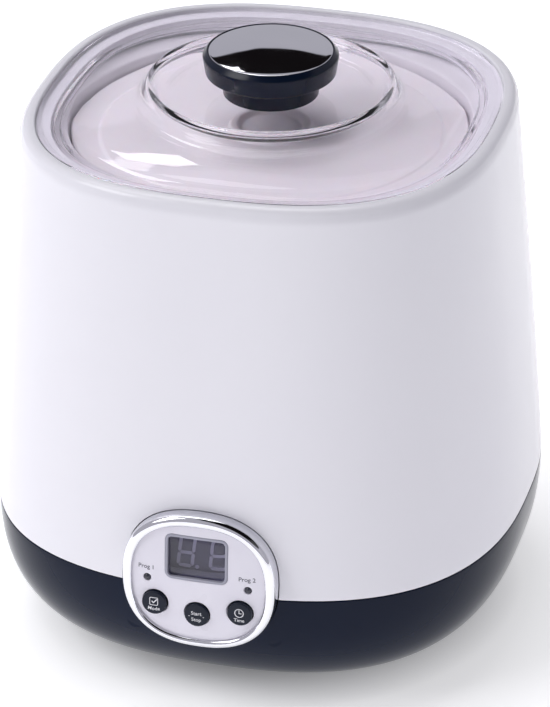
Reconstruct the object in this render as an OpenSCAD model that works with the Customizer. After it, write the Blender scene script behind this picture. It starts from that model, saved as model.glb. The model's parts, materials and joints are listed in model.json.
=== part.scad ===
// Single-jar yogurt maker: soft square housing on a dark bowl base, clear lid with a round knob,
// and a tilted control panel that spans the seam at the front.
// Millimetres. +Z is up, -Y is the front. The origin is on the floor under the body's axis.

/* [Body] */
// Width across the widest line, the seam between housing and base
body_w = 176; // [150:1:215]
// Height of the white housing from the seam to its rim
housing_h = 133.2; // [110:0.1:165]
// Height of the dark base from its flat bottom to the seam
base_h = 43; // [36:0.5:54]
// How much the housing narrows towards its rim, as a share of its half width
taper = 0.1213; // [0.05:0.001:0.16]
// Squareness of the plan outline: 2 is a circle, higher is squarer
squareness = 2.6; // [2.2:0.05:3.2]
// Half width of the flat bottom, as a share of the seam's half width
bottom_share = 0.539; // [0.45:0.005:0.7]
// Wall thickness of housing and base
wall = 2.5; // [1.8:0.1:3.5]
// Height of the rubber feet
foot_h = 2.5; // [1.5:0.5:5]

/* [Lid and knob] */
// Half width of the clear lid at its edge
lid_half = 72.5; // [60:0.1:86]
// Thickness of the clear lid
lid_t = 2; // [1.2:0.1:3]
// Radius of the raised ring on the lid
ring_r = 39.3; // [32:0.1:46]
// Height of the raised ring above the rim
ring_h = 7.9; // [5:0.1:12]
// Height of the lid's floor under the knob, above the rim
lid_floor_h = 3.2; // [1:0.1:5]
// Radius of the knob
knob_r = 21.9; // [16:0.1:26]
// Height of the knob's underside above the rim
knob_under_h = 10.3; // [9:0.1:16]
// Radius of the knob's stem
stem_r = 15.5; // [9:0.1:17]

/* [Well and jar] */
// Inner radius of the heating well
well_r = 66; // [55:0.5:70]
// Gap between the jar's wall and the well
jar_gap = 4; // [3:0.1:6]
// Wall of the jar
jar_wall = 1.8; // [1.2:0.1:3]
// Depth of the jar's rim below the housing's rim
jar_drop = 12.7; // [12:0.1:40]

/* [Control panel] */
// Half width of the chrome bezel
bezel_half_w = 25.4; // [22:0.1:30]
// Half height of the chrome bezel
bezel_half_h = 23.7; // [21:0.1:28]
// Tilt of the panel, facing slightly up
panel_tilt = 2; // [0:0.5:8]
// Height of the panel's centre above the seam
panel_up = 5.4; // [0:0.1:10]
// How far the panel's plane stands in front of the seam line
panel_out = 4; // [2:0.1:6]
// Radius of the round buttons
button_r = 4.05; // [3:0.05:5]
// Travel of the buttons
button_travel = 0.5; // [0.3:0.1:1]
// Running gap between pieces that move against each other
run_gap = 0.3; // [0.2:0.05:0.6]

/* [Cord entry] */
// Radius of the bore that takes the cord
cord_r = 3.5; // [2.5:0.1:5]

/* [Hidden] */
$fn = 96;
e = 0.01;
seg = 72;
u = body_w / 2;
seam_z = foot_h + base_h;
rim_z = seam_z + housing_h;
bowl_p = 2.46;
side_p = 1.1426;
seam_gap = 0.2;
// Rim of the housing, measured down from its top
edge_round = 3;
lip_half = lid_half - 4.5;
ledge_d = 2.4;
lip_d = 7;
gasket_t = 0.7;
flange_t = 1.4;
well_t = 1.2;
well_floor_z = seam_z + 6.5;
well_top_z = rim_z - lip_d - gasket_t - 0.2;
well_corner = 8;
jar_r = well_r - jar_gap;
jar_z = well_floor_z + run_gap;
jar_top = rim_z - jar_drop;
jar_corner = 7;
bead_r = jar_r + 1.2;
// Corner fasteners: the squarer the outline, the further out its diagonal reaches
diag = pow(2, -0.5) / pow(2 * pow(pow(2, -0.5), squareness), 1 / squareness);
post_xy = (u - 16.2) * diag / 1.0035;
well_screw_xy = (lip_half + 2.9) * diag;
foot_xy = u * bottom_share * 0.612;
foot_r = 7;
cap_seat = 6.7;
peg_r = 2;
// Control panel depths, along its own outward normal
panel_y = -(u + panel_out);
panel_z = seam_z + panel_up;
fascia_apex = 0.3;
fascia_back = -3.2;
dome_r = 168;
shroud_back = -6.2;
flange_front = -11.8;
flange_back = -13.4;
boss_top = -7.8;
board_front = -16.8;
board_t = 1.6;
win_x = -0.35;
win_y = 8.75;
win_w = 18.8;
win_h = 13.8;
win_wall = 0.95;
digit_x = 0.15;
digit_y = 7.6;
digit_h = 10.2;
digit_w = 5.6;
digit_pitch = 10.4;
seg_w = 1.05;
slant = 6;
button_at = [[-14.2, -8.8], [-0.1, -11.2], [14.1, -8.7]];
led_at = [[-16.8, -0.3], [16.6, -0.3]];
led_r = 1.2;
carrier_at = [for (sx = [-1, 1]) for (sy = [-1, 1]) [23 * sx, 21 * sy]];
board_at = [for (sx = [-1, 1]) for (sy = [-1, 1]) [20 * sx, -1 + 16.5 * sy]];
switch_h = 3.6;
plunger_r = 1.7;
plunger_top = board_front + switch_h + 1.2;
// Power board
pb_z = 13;
pb_t = 1.6;
pb_y = 12;
pb_w = 92;
pb_d = 60;
pb_at = [for (sx = [-1, 1]) for (sy = [-1, 1]) [sx * (pb_w / 2 - 5), pb_y + sy * (pb_d / 2 - 5)]];
floor_z = foot_h + 3;
gland_z = seam_z - 13.5;
gland_out = u + 3.2;

white = [0.93, 0.92, 0.95];
navy = [0.07, 0.1, 0.17];
chrome = [0.82, 0.82, 0.85];
clear = [0.85, 0.85, 0.9, 0.35];
steel = [0.62, 0.62, 0.65];
pcb = [0.08, 0.32, 0.18];

// Outline of unit half width in plan, at angle t
function unit_r(n, t) = 1 / pow(pow(abs(cos(t)), n) + pow(abs(sin(t)), n), 1 / n);
function outline(ax, ay, n, cy = 0, m = seg) =
    [for (i = [0:m - 1]) let (t = 360 * i / m, r = unit_r(n, t)) [ax * r * cos(t), ay * r * sin(t) + cy]];
// One level of a lofted wall: half width, squareness and height
function level(a, n, z) = [for (p = outline(a, a, n)) [p[0], p[1], z]];
function housing_half(z) = u * (1 - taper * pow(max(0, z - seam_z) / housing_h, side_p));
function bowl_half(a, share, q) = a * share + a * (1 - share) * pow(max(0, cos(q)), 2 / bowl_p);
function bowl_z(h, q) = -h * pow(sin(q), 2 / bowl_p);

function arc(x, z, r, a0, a1, n = 10) = [for (i = [0:n]) let (t = a0 + (a1 - a0) * i / n) [x + r * cos(t), z + r * sin(t)]];
// Half section of a round cup: outer radius, wall, height from z0 to z1, outer corner radius
function cup(r, t, z0, z1, q) = concat([[0, z0]], arc(r - q, z0 + q, q, -90, 0), [[r, z1], [r - t, z1]],
    arc(r - q, z0 + q, q - t, 0, -90), [[0, z0 + t]]);

// Skin through a list of levels; a ring closes on itself, otherwise both ends are capped
module skin(levels, ring = false) {
    m = len(levels[0]);
    k = len(levels);
    pts = [for (l = levels) for (p = l) p];
    sides = [for (j = [0:(ring ? k - 1 : k - 2)]) for (i = [0:m - 1])
        let (a = j * m + i, b = j * m + (i + 1) % m, d = ((j + 1) % k) * m + i, c = ((j + 1) % k) * m + (i + 1) % m)
        for (f = [[a, d, c], [a, c, b]]) f];
    caps = ring ? [] : [[for (i = [0:m - 1]) i], [for (i = [m - 1:-1:0]) (k - 1) * m + i]];
    polyhedron(points = pts, faces = concat(sides, caps), convexity = 8);
}

module rounded(w, h, r) {
    square([w - 2 * r, h], center = true);
    square([w, h - 2 * r], center = true);
    for (sx = [-1, 1]) for (sy = [-1, 1]) translate([sx * (w / 2 - r), sy * (h / 2 - r)]) circle(r);
}

module disc(r, z0, z1) { translate([0, 0, z0]) cylinder(r = r, h = z1 - z0); }
module tube(r1, r0, z0, z1) {
    difference() { disc(r1, z0, z1); disc(r0, z0 - 1, z1 + 1); }
}
module at4(d) { for (sx = [-1, 1]) for (sy = [-1, 1]) translate([sx * d, sy * d, 0]) children(); }
// Puts a piece in the panel's own frame: x to the right, y up the panel, z out of it
module on_panel() { translate([0, panel_y, panel_z]) rotate([90 - panel_tilt, 0, 0]) children(); }
// Opening in housing and base that the bezel sits in
module panel_hole() {
    on_panel() translate([0, 0, -14]) linear_extrude(20)
        polygon(outline(bezel_half_w + 0.2, bezel_half_h + 0.2, 2.35, 0, 64));
}
module carrier_boss() { disc(2.9, flange_front, boss_top); }
module carrier_bore() { disc(1.25, flange_front - 1, boss_top - 1.2); }

module outer_housing() {
    inner_top = rim_z - lip_d;
    rim = housing_half(rim_z);
    color(white) difference() {
        union() {
            skin(concat(
                [for (i = [0:9]) let (z = seam_z + (housing_h - edge_round) * i / 9) level(housing_half(z), squareness, z)],
                [for (q = [30, 60, 90]) level(rim - edge_round * (1 - cos(q)), squareness, rim_z - edge_round * (1 - sin(q)))],
                [level(lid_half + run_gap + 0.5, squareness, rim_z), level(lid_half + run_gap, squareness, rim_z - 0.5),
                 level(lid_half + run_gap, squareness, rim_z - ledge_d), level(lip_half + 0.3, squareness, rim_z - ledge_d),
                 level(lip_half, squareness, rim_z - ledge_d - 0.3), level(lip_half, squareness, rim_z - lip_d),
                 level(housing_half(inner_top) - wall, squareness, rim_z - lip_d)],
                [for (i = [1:7]) let (z = inner_top + (seam_z - inner_top) * i / 7) level(housing_half(z) - wall, squareness, z)]
            ), true);
            // Posts that the base screws pull on, with a web to the wall
            at4(post_xy) disc(4.5, seam_z - 5, seam_z + 22);
            for (q = [45:90:315]) rotate([0, 0, q]) translate([post_xy * sqrt(2) + 3.5, -1.25, seam_z + 2])
                cube([10.6, 2.5, 20]);
            for (p = carrier_at) if (p[1] > 0) on_panel() translate([p[0], p[1], 0]) carrier_boss();
        }
        at4(post_xy) disc(1.55, seam_z - 6, seam_z + 13);
        at4(well_screw_xy) disc(1.25, rim_z - lip_d - 1, rim_z - 3.6);
        for (p = carrier_at) if (p[1] > 0) on_panel() translate([p[0], p[1], 0]) carrier_bore();
        panel_hole();
    }
}

module base_shell() {
    in_u = u - wall;
    in_h = base_h - 3;
    in_share = (u * bottom_share - 1) / in_u;
    top = seam_z - seam_gap;
    color(navy) difference() {
        union() {
            translate([0, 0, top]) skin(concat(
                [for (q = [90:-6:0]) level(bowl_half(u, bottom_share, q), squareness, bowl_z(base_h - seam_gap, q))],
                [for (q = [0:9:90]) level(bowl_half(in_u, in_share, q), squareness, bowl_z(in_h - seam_gap, q))]
            ));
            // Screw towers stand on the bowl's slope
            at4(post_xy) disc(5, foot_h + 9.1, seam_z - 5.3);
            for (q = [45:90:315]) rotate([0, 0, q]) translate([post_xy * sqrt(2) - 5.5, -4, foot_h + 6])
                cube([5.5, 8, 4]);
            // Posts for the power board
            for (p = pb_at) translate([p[0], p[1], 0]) disc(3.2, floor_z - 0.5, pb_z);
            for (p = carrier_at) if (p[1] < 0) on_panel() translate([p[0], p[1], 0]) carrier_boss();
        }
        at4(post_xy) disc(3.7, -1, foot_h + 12);
        at4(post_xy) disc(1.8, foot_h, seam_z);
        at4(foot_xy) disc(peg_r + 0.1, 0, floor_z + 1);
        for (p = pb_at) translate([p[0], p[1], 0]) disc(1.25, floor_z + 1, pb_z + 1);
        for (p = carrier_at) if (p[1] < 0) on_panel() translate([p[0], p[1], 0]) carrier_bore();
        panel_hole();
        // Hole for the cord bush
        translate([0, u - 12, gland_z]) rotate([-90, 0, 0]) cylinder(r = 6, h = 14);
        // Vent slots in the flat bottom
        for (i = [-3:3]) translate([i * 5 - 1, -40, foot_h - 1]) cube([2, 16, 6]);
    }
}

module rubber_feet() {
    color([0.06, 0.06, 0.07]) at4(foot_xy) rotate_extrude()
        polygon([[0, 0], [foot_r - 0.8, 0], [foot_r, 0.8], [foot_r, foot_h - 0.1], [peg_r, foot_h - 0.1],
            [peg_r, floor_z + 1.2], [peg_r - 0.6, floor_z + 2], [0, floor_z + 2]]);
}

module base_screws() {
    color(steel) at4(post_xy) {
        disc(3.3, foot_h + 9.6, foot_h + 12 - e);
        disc(1.45, foot_h + 9.6, seam_z + 11);
    }
}

module rating_plate() {
    color([0.7, 0.71, 0.73]) translate([0, 4, foot_h - 0.35]) linear_extrude(0.3) rounded(34, 22, 2);
}

module cord_gland() {
    color([0.05, 0.06, 0.08]) translate([0, 0, gland_z]) rotate([-90, 0, 0]) difference() {
        union() {
            disc(5.8, u - 9, gland_out);
            disc(7, u - 0.1, u + 2.4);
            disc(7.2, u - 9, u - 6.6);
        }
        disc(cord_r, u - 10, gland_out + 1);
    }
}

module heating_well() {
    q = well_corner;
    color([0.78, 0.79, 0.81]) union() {
        difference() {
            rotate_extrude() polygon(cup(well_r + well_t, well_t, well_floor_z - well_t, well_top_z, q + well_t));
            for (sx = [-1, 1]) translate([sx * 16, 0, 0]) disc(1.3, well_floor_z - 3, well_floor_z - 0.5);
        }
        translate([0, 0, well_top_z - flange_t]) linear_extrude(flange_t) difference() {
            polygon(outline(lip_half + 5.6, lip_half + 5.6, squareness));
            circle(well_r + well_t - 0.4);
            for (sx = [-1, 1]) for (sy = [-1, 1]) translate([sx * well_screw_xy, sy * well_screw_xy]) circle(1.5);
        }
    }
}

module well_gasket() {
    color([0.75, 0.75, 0.77]) translate([0, 0, well_top_z + 0.1]) linear_extrude(gasket_t) difference() {
        polygon(outline(lip_half + 5, lip_half + 5, squareness));
        polygon(outline(lip_half + 0.5, lip_half + 0.5, squareness));
        for (sx = [-1, 1]) for (sy = [-1, 1]) translate([sx * well_screw_xy, sy * well_screw_xy]) circle(1.5);
    }
}

module well_screws() {
    color(steel) at4(well_screw_xy) {
        disc(2.4, well_top_z - flange_t - 1.8, well_top_z - flange_t - e);
        disc(1.2, well_top_z - flange_t - 1.8, rim_z - 3.8);
    }
}

module heating_film() {
    color([0.75, 0.35, 0.12]) difference() {
        tube(well_r + well_t + 1.1, well_r + well_t + 0.1, well_floor_z + 10, well_floor_z + 62);
        translate([-3, 0, 0]) cube([6, body_w, rim_z]);
    }
}

module thermal_fuse() {
    color([0.8, 0.78, 0.7]) translate([-9, 30, well_floor_z - well_t - 3.4]) rotate([0, 90, 0]) {
        cylinder(r = 2, h = 18);
        translate([0, 0, -7]) cylinder(r = 0.5, h = 32);
    }
}

module fuse_clip() {
    z = well_floor_z - well_t - 3.4;
    color(steel) translate([-3, 30, 0]) difference() {
        union() {
            translate([0, 0, z]) rotate([0, 90, 0]) cylinder(r = 3.1, h = 6);
            translate([0, -8, z + 2.2]) cube([6, 16, 1.1]);
        }
        translate([-1, 0, z]) rotate([0, 90, 0]) cylinder(r = 2.1, h = 8);
    }
}

module temperature_sensor() {
    color([0.1, 0.1, 0.12]) {
        disc(3, well_floor_z - well_t - 5.2, well_floor_z - well_t - 0.1);
        disc(1, well_floor_z - well_t - 12, well_floor_z - well_t - 5.2 + e);
    }
}

module sensor_bracket() {
    z = well_floor_z - well_t;
    color(steel) difference() {
        union() {
            for (sx = [-1, 1]) translate([sx * 16 - 5, -5, z - 1.1]) cube([10, 10, 1]);
            for (sx = [-1, 1]) translate([sx * 11.5 - 0.5, -5, z - 7.3]) cube([1, 10, 7.2]);
            translate([-12, -5, z - 7.3]) cube([24, 10, 1]);
        }
        disc(1.4, z - 9, z - 5);
        for (sx = [-1, 1]) translate([sx * 16, 0, 0]) disc(1.6, z - 3, z + 1);
    }
}

module bracket_screws() {
    z = well_floor_z - well_t;
    color(steel) for (sx = [-1, 1]) translate([sx * 16, 0, 0]) {
        disc(2.6, z - 2.9, z - 1.1 - e);
        disc(1.2, z - 2.9, z + 0.5);
    }
}

module lead(x, c) {
    r = 0.9;
    y0 = pb_y + 20;
    yc = well_r + well_t + 2.1;
    z0 = pb_z + pb_t + 4.2;
    zm = z0 + 10;
    z1 = well_floor_z + 20;
    color(c) {
        translate([x, y0, z0]) cylinder(r = r, h = zm - z0);
        translate([x, y0, zm]) sphere(r, $fn = 24);
        translate([x, y0, zm]) rotate([-90, 0, 0]) cylinder(r = r, h = yc - y0);
        translate([x, yc, zm]) sphere(r, $fn = 24);
        translate([x, yc, zm]) cylinder(r = r, h = z1 - zm);
    }
}

module heater_leads() {
    lead(-6, [0.7, 0.1, 0.1]);
    lead(6, [0.1, 0.1, 0.1]);
}

module jar() {
    q = jar_corner;
    wall_pts = cup(jar_r, jar_wall, jar_z, jar_top, q);
    k = len(wall_pts) / 2;
    bead = [[jar_r, jar_top - 4.4], [bead_r, jar_top - 4], [bead_r, jar_top - 2.4], [jar_r, jar_top - 2]];
    color([0.9, 0.91, 0.93, 0.8]) rotate_extrude()
        polygon(concat([for (i = [0:k - 2]) wall_pts[i]], bead, [for (i = [k - 1:2 * k - 1]) wall_pts[i]]));
}

module jar_lid() {
    s0 = bead_r + run_gap;
    color([0.95, 0.95, 0.97]) rotate_extrude() polygon([[0, jar_top + 0.9], [jar_r - jar_wall - 4, jar_top + 0.9],
        [jar_r - jar_wall - 3, jar_top + run_gap], [s0, jar_top + run_gap], [s0, jar_top - 8], [s0 + 1.3, jar_top - 8],
        [s0 + 1.3, jar_top + 1], [s0 + 0.5, jar_top + 1.8], [jar_r - 6, jar_top + 1.8], [jar_r - 7, jar_top + 2.4],
        [14, jar_top + 2.4], [13, jar_top + 4.4], [11, jar_top + 4.4], [10, jar_top + 2.4], [0, jar_top + 2.4]]);
}

// Upper face of the lid from its edge inwards: half width, squareness, height above the rim
function lid_top(a) = [[a, 0, -1], [a - 0.3, 0, -0.4], [a - 1.2, 0, -0.2], [a - 1.9, 0, -0.8], [a - 5.5, 0, -0.9],
    [a - 9.5, -0.05, -0.5], [a - 11.3, -0.1, 0.1], [a - 14, -0.15, 0.7], [a - 21, -0.3, 1.7],
    [ring_r + 5.2, -0.6, 2.3], [ring_r + 3.4, -0.6, 2.8], [ring_r + 2.1, -0.6, 4.2], [ring_r + 1, -0.6, ring_h - 1],
    [ring_r, -0.6, ring_h], [ring_r - 1, -0.6, ring_h - 0.7], [ring_r - 2.4, -0.6, lid_floor_h + 1.9],
    [ring_r - 4.2, -0.6, lid_floor_h + 0.4], [ring_r - 6, -0.6, lid_floor_h], [3, -0.6, lid_floor_h]];
function lid_under(a) = [[3, -0.6, lid_floor_h - lid_t], [ring_r - 5.2, -0.6, lid_floor_h - lid_t],
    [ring_r - 2.4, -0.6, lid_floor_h - 0.4], [ring_r - 0.4, -0.6, ring_h - lid_t - 0.3],
    [ring_r + 0.3, -0.6, ring_h - lid_t - 0.5], [ring_r + 1.6, -0.6, 2.2], [ring_r + 4.4, -0.6, 2.3 - lid_t],
    [a - 21, -0.3, 1.7 - lid_t], [a - 11.3, -0.1, -lid_t], [a - 7.3, -0.05, -0.9 - lid_t],
    [a - 7.2, 0, -5.4], [a - 5.6, 0, -5.4], [a - 5.3, 0, -ledge_d + run_gap], [a, 0, -ledge_d + run_gap]];

module outer_lid() {
    color(clear) skin([for (p = concat([for (i = [0:13]) lid_under(lid_half)[i]], lid_top(lid_half)))
        level(p[0], squareness + p[1], rim_z + p[2])], true);
}

module knob_body() {
    z0 = rim_z + lid_floor_h + e;
    zb = rim_z + knob_under_h;
    color(navy) rotate_extrude() polygon([[0, z0 + 3], [2, z0 + 3], [2, z0], [stem_r, z0], [stem_r, zb - 2.4],
        [stem_r + 0.5, zb - 2.2], [stem_r + 0.5, zb], [knob_r - 1.2, zb], [knob_r - 0.8, zb + 0.3], [knob_r, zb + 5.6],
        [knob_r, zb + 6.1], [knob_r - 0.4, zb + 6.6], [knob_r - 1.4, zb + 7.8], [knob_r - 1.7, zb + 7.8],
        [knob_r - 1.7, zb + cap_seat], [0, zb + cap_seat]]);
}

module knob_cap() {
    zc = rim_z + knob_under_h + cap_seat + e;
    r = knob_r - 1.8;
    dome = 140;
    color(chrome) intersection() {
        disc(r, zc, zc + 4);
        translate([0, 0, zc + 2.4 - dome]) sphere(dome, $fn = 180);
    }
}

module knob_washer() {
    z = rim_z + lid_floor_h - lid_t;
    color([0.8, 0.8, 0.82]) tube(6, 2, z - 1 - e, z - e);
}

module knob_screw() {
    z = rim_z + lid_floor_h - lid_t - 1 - 2 * e;
    color(steel) {
        disc(3.4, z - 1.9, z);
        disc(1.45, z - 1, rim_z + lid_floor_h + 2.8);
    }
}

// One line around the bezel: inset from its outer edge, and height in the panel's frame
function bezel_line(d, z) = [for (p = outline(bezel_half_w - d, bezel_half_h - d, 2.35 + 0.045 * d, -0.13 * d, 64)) [p[0], p[1], z]];

module panel_bezel() {
    color(chrome) on_panel() skin([for (p = [[0, flange_front + 0.1], [0, -1.7], [0.25, -0.9], [0.8, -0.2], [1.6, 0.15], [2.3, 0.15],
        [2.9, -0.1], [3.3, -0.5], [3.35, -0.9], [2.3, -0.9], [2.3, flange_front + 0.1]]) bezel_line(p[0], p[1])], true);
}

module button_bores(r) { for (p = button_at) translate([p[0], p[1], 0]) disc(r, -20, 5); }

module fascia_plate() {
    color([0.92, 0.91, 0.95]) on_panel() difference() {
        intersection() {
            translate([0, 0, fascia_back]) linear_extrude(5)
                polygon(outline(bezel_half_w - 2.45, bezel_half_h - 2.45, 2.46, -0.32, 64));
            translate([0, -0.4, fascia_apex - dome_r]) sphere(dome_r, $fn = 180);
        }
        button_bores(button_r + run_gap);
        for (p = led_at) translate([p[0], p[1], 0]) disc(led_r + 0.1, -20, 5);
        translate([win_x, win_y, -20]) linear_extrude(30) rounded(win_w + 2 * win_wall + 0.2, win_h + 2 * win_wall + 0.2, 2.4);
    }
}

module panel_carrier() {
    color([0.2, 0.21, 0.24]) on_panel() difference() {
        union() {
            translate([0, 0, flange_back]) linear_extrude(flange_front - flange_back) rounded(53, 49, 6);
            translate([0, 0, flange_front - e]) linear_extrude(fascia_back - flange_front - 0.1)
                polygon(outline(bezel_half_w - 2.45, bezel_half_h - 2.45, 2.46, -0.32, 64));
            for (p = board_at) translate([p[0], p[1], 0]) disc(2.3, board_front, flange_back + e);
        }
        translate([0, -0.32, flange_back - 1]) linear_extrude(20)
            polygon(outline(bezel_half_w - 3.9, bezel_half_h - 3.9, 2.5, 0, 64));
        for (p = carrier_at) translate([p[0], p[1], 0]) disc(1.5, flange_back - 1, flange_front + 0.5);
        for (p = board_at) translate([p[0], p[1], 0]) disc(1.25, board_front - 1, flange_front - 0.8);
    }
}

module carrier_screws() {
    color(steel) on_panel() for (p = carrier_at) translate([p[0], p[1], 0]) {
        disc(2, flange_back - 1.6, flange_back - e);
        disc(1.15, flange_back - 1, boss_top - 1.4);
    }
}

module display_frame() {
    color([0.62, 0.62, 0.67]) on_panel() intersection() {
        translate([win_x, win_y, shroud_back + 0.3]) linear_extrude(1.7 - shroud_back) difference() {
            rounded(win_w + 2 * win_wall, win_h + 2 * win_wall, 2.3);
            rounded(win_w, win_h, 1.3);
        }
        translate([0, -0.4, fascia_apex + 0.25 - dome_r]) sphere(dome_r, $fn = 180);
    }
}

module display_lens() {
    color([0.3, 0.3, 0.4, 0.4]) on_panel() intersection() {
        translate([win_x, win_y, -2.2]) linear_extrude(4) rounded(win_w - 0.1, win_h - 0.1, 1.25);
        translate([0, -0.4, fascia_apex - 0.5 - dome_r]) sphere(dome_r, $fn = 180);
    }
}

module display_module() {
    color([0.3, 0.3, 0.36]) on_panel() translate([win_x, win_y, board_front + e])
        linear_extrude(shroud_back - board_front - 2 * e) square([win_w + 1.8, win_h + 1.6], center = true);
}

// A lit bar of one figure, pointed at both ends
module bar(l) {
    polygon([[-l / 2, 0], [-l / 2 + seg_w / 2, seg_w / 2], [l / 2 - seg_w / 2, seg_w / 2], [l / 2, 0],
        [l / 2 - seg_w / 2, -seg_w / 2], [-l / 2 + seg_w / 2, -seg_w / 2]]);
}
module figure() {
    h = digit_h / 2 - seg_w / 2;
    w = digit_w / 2 - seg_w / 2;
    k = tan(slant);
    for (j = [-1:1]) translate([k * j * h, j * h]) bar(2 * w - 0.3);
    for (sx = [-1, 1]) for (sy = [-1, 1]) translate([sx * w + k * sy * h / 2, sy * h / 2]) rotate([0, 0, 90 - slant]) bar(h - 0.3);
    translate([w + 1.7 - k * h, -h]) circle(0.65, $fn = 24);
}

module digit_segments() {
    color([0.75, 0.75, 0.8]) on_panel() for (i = [-0.5, 0.5])
        translate([digit_x + i * digit_pitch, digit_y, shroud_back]) linear_extrude(0.25) figure();
}

module indicator_leds() {
    color([0.25, 0.25, 0.28]) on_panel() for (p = led_at) translate([p[0], p[1], 0]) {
        disc(led_r, -6, -1.3);
        intersection() {
            disc(led_r, -1.3 - e, 1);
            translate([0, 0, -1.3]) sphere(led_r, $fn = 48);
        }
        disc(1.9, -7.2, -6 + e);
        for (sx = [-1, 1]) translate([sx * 1.27 - 0.25, -0.25, board_front + e]) cube([0.5, 0.5, -7.2 - board_front]);
    }
}

module control_board() {
    color(pcb) on_panel() difference() {
        translate([0, -1, board_front - board_t]) linear_extrude(board_t) rounded(47, 40, 2);
        for (p = board_at) translate([p[0], p[1], 0]) disc(1.6, board_front - 4, board_front + 1);
    }
}

module board_screws() {
    z = board_front - board_t - e;
    color(steel) on_panel() for (p = board_at) translate([p[0], p[1], 0]) {
        disc(2.4, z - 1.7, z);
        disc(1.15, z - 1, flange_front - 1);
    }
}

module microcontroller() {
    z = board_front - board_t - e;
    color([0.08, 0.08, 0.09]) on_panel() union() {
        translate([-5, 1, z - 1.5]) cube([10, 7, 1.4]);
        for (sy = [0.25, 7.75]) for (i = [-3:3]) translate([i * 1.27 - 0.2, 1 + sy - 1, z - 0.5]) cube([0.4, 1, 0.5]);
    }
}

module switch_bodies() {
    color([0.12, 0.12, 0.13]) on_panel() for (p = button_at) translate([p[0], p[1], 0]) difference() {
        translate([-3, -3, board_front + e]) cube([6, 6, switch_h]);
        disc(plunger_r + run_gap, board_front + 0.8, board_front + switch_h + 1);
    }
}

module buzzer() {
    color([0.1, 0.1, 0.1]) on_panel() translate([-11, 5, 0]) tube(4, 1, board_front - board_t - 3.6, board_front - board_t - e);
}

module signal_ribbon() {
    zt = panel_z - 8;
    yt = panel_y - board_front + board_t + 3;
    color([0.75, 0.75, 0.72]) union() {
        translate([-5, yt, pb_z + pb_t + 6]) cube([10, 0.9, zt - pb_z - pb_t - 6]);
        translate([-5, yt - 2.6, zt - 4]) cube([10, 2.6 + e, 4]);
        translate([-5, yt, pb_z + pb_t + 5.1]) cube([10, pb_y - pb_d / 2 + 6 - yt, 0.9]);
        translate([-5, pb_y - pb_d / 2 + 2, pb_z + pb_t + e]) cube([10, 4, 6]);
    }
}

// A round key with a flange that keeps it behind the fascia and a stem onto its switch
module key(i) {
    color(navy) on_panel() translate([button_at[i][0], button_at[i][1], 0]) {
        intersection() {
            disc(button_r, fascia_back - 1.5, 1.15);
            translate([0, 0, 1.1 - 30]) sphere(30, $fn = 180);
        }
        disc(button_r + 1.1, fascia_back - 1.5, fascia_back - run_gap);
        disc(1.5, plunger_top + e, fascia_back - 1.5 + e);
    }
}
module plunger(i) {
    color([0.8, 0.8, 0.78]) on_panel() translate([button_at[i][0], button_at[i][1], 0])
        disc(plunger_r, board_front + 0.8 + button_travel + run_gap, plunger_top);
}
module mode_button() { key(0); }
module start_button() { key(1); }
module time_button() { key(2); }
module mode_plunger() { plunger(0); }
module start_plunger() { plunger(1); }
module time_plunger() { plunger(2); }

module power_board() {
    color([0.62, 0.5, 0.28]) difference() {
        translate([0, pb_y, pb_z]) linear_extrude(pb_t) rounded(pb_w, pb_d, 3);
        for (p = pb_at) translate([p[0], p[1], 0]) disc(1.6, pb_z - 1, pb_z + pb_t + 1);
    }
}

module power_board_screws() {
    color(steel) for (p = pb_at) translate([p[0], p[1], 0]) {
        disc(2.6, pb_z + pb_t + e, pb_z + pb_t + 1.9);
        disc(1.15, floor_z + 1.5, pb_z + pb_t + 1);
    }
}

module transformer() {
    z = pb_z + pb_t + e;
    color([0.25, 0.24, 0.26]) translate([-22, pb_y - 2, z]) union() {
        difference() {
            translate([-14, -11, 0]) cube([28, 22, 24]);
            for (sx = [-1, 1]) translate([sx * 7 - 2, -12, 5]) cube([4, 24, 14]);
        }
        translate([-10.5, -13, 5]) cube([21, 26, 14]);
    }
}

module relay() {
    color([0.1, 0.2, 0.5]) translate([12, pb_y - 16, pb_z + pb_t + e]) cube([19, 15, 15.5]);
}

module capacitors() {
    z = pb_z + pb_t + e;
    color([0.15, 0.15, 0.35]) {
        translate([6, pb_y + 10, 0]) disc(5, z, z + 18);
        translate([6, pb_y - 1, 0]) disc(3.2, z, z + 11);
        translate([16, pb_y + 4, z]) cube([17, 8, 14]);
    }
}

module terminal_block() {
    z = pb_z + pb_t + e;
    color([0.15, 0.45, 0.3]) difference() {
        translate([-10.5, pb_y + 16, z]) cube([21, 8, 8]);
        for (i = [-1:1]) translate([i * 6, pb_y + 20, 0]) disc(1.6, z + 4, z + 9);
    }
}

outer_housing();
base_shell();
rubber_feet();
base_screws();
rating_plate();
cord_gland();
heating_well();
well_gasket();
well_screws();
heating_film();
thermal_fuse();
fuse_clip();
temperature_sensor();
sensor_bracket();
bracket_screws();
heater_leads();
jar();
jar_lid();
outer_lid();
knob_body();
knob_cap();
knob_washer();
knob_screw();
panel_bezel();
fascia_plate();
panel_carrier();
carrier_screws();
display_frame();
display_lens();
display_module();
digit_segments();
indicator_leds();
control_board();
board_screws();
microcontroller();
switch_bodies();
buzzer();
signal_ribbon();
mode_button();
start_button();
time_button();
mode_plunger();
start_plunger();
time_plunger();
power_board();
power_board_screws();
transformer();
relay();
capacitors();
terminal_block();
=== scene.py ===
import bpy
import bmesh
import json
import math
from mathutils import Matrix, Vector


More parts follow.
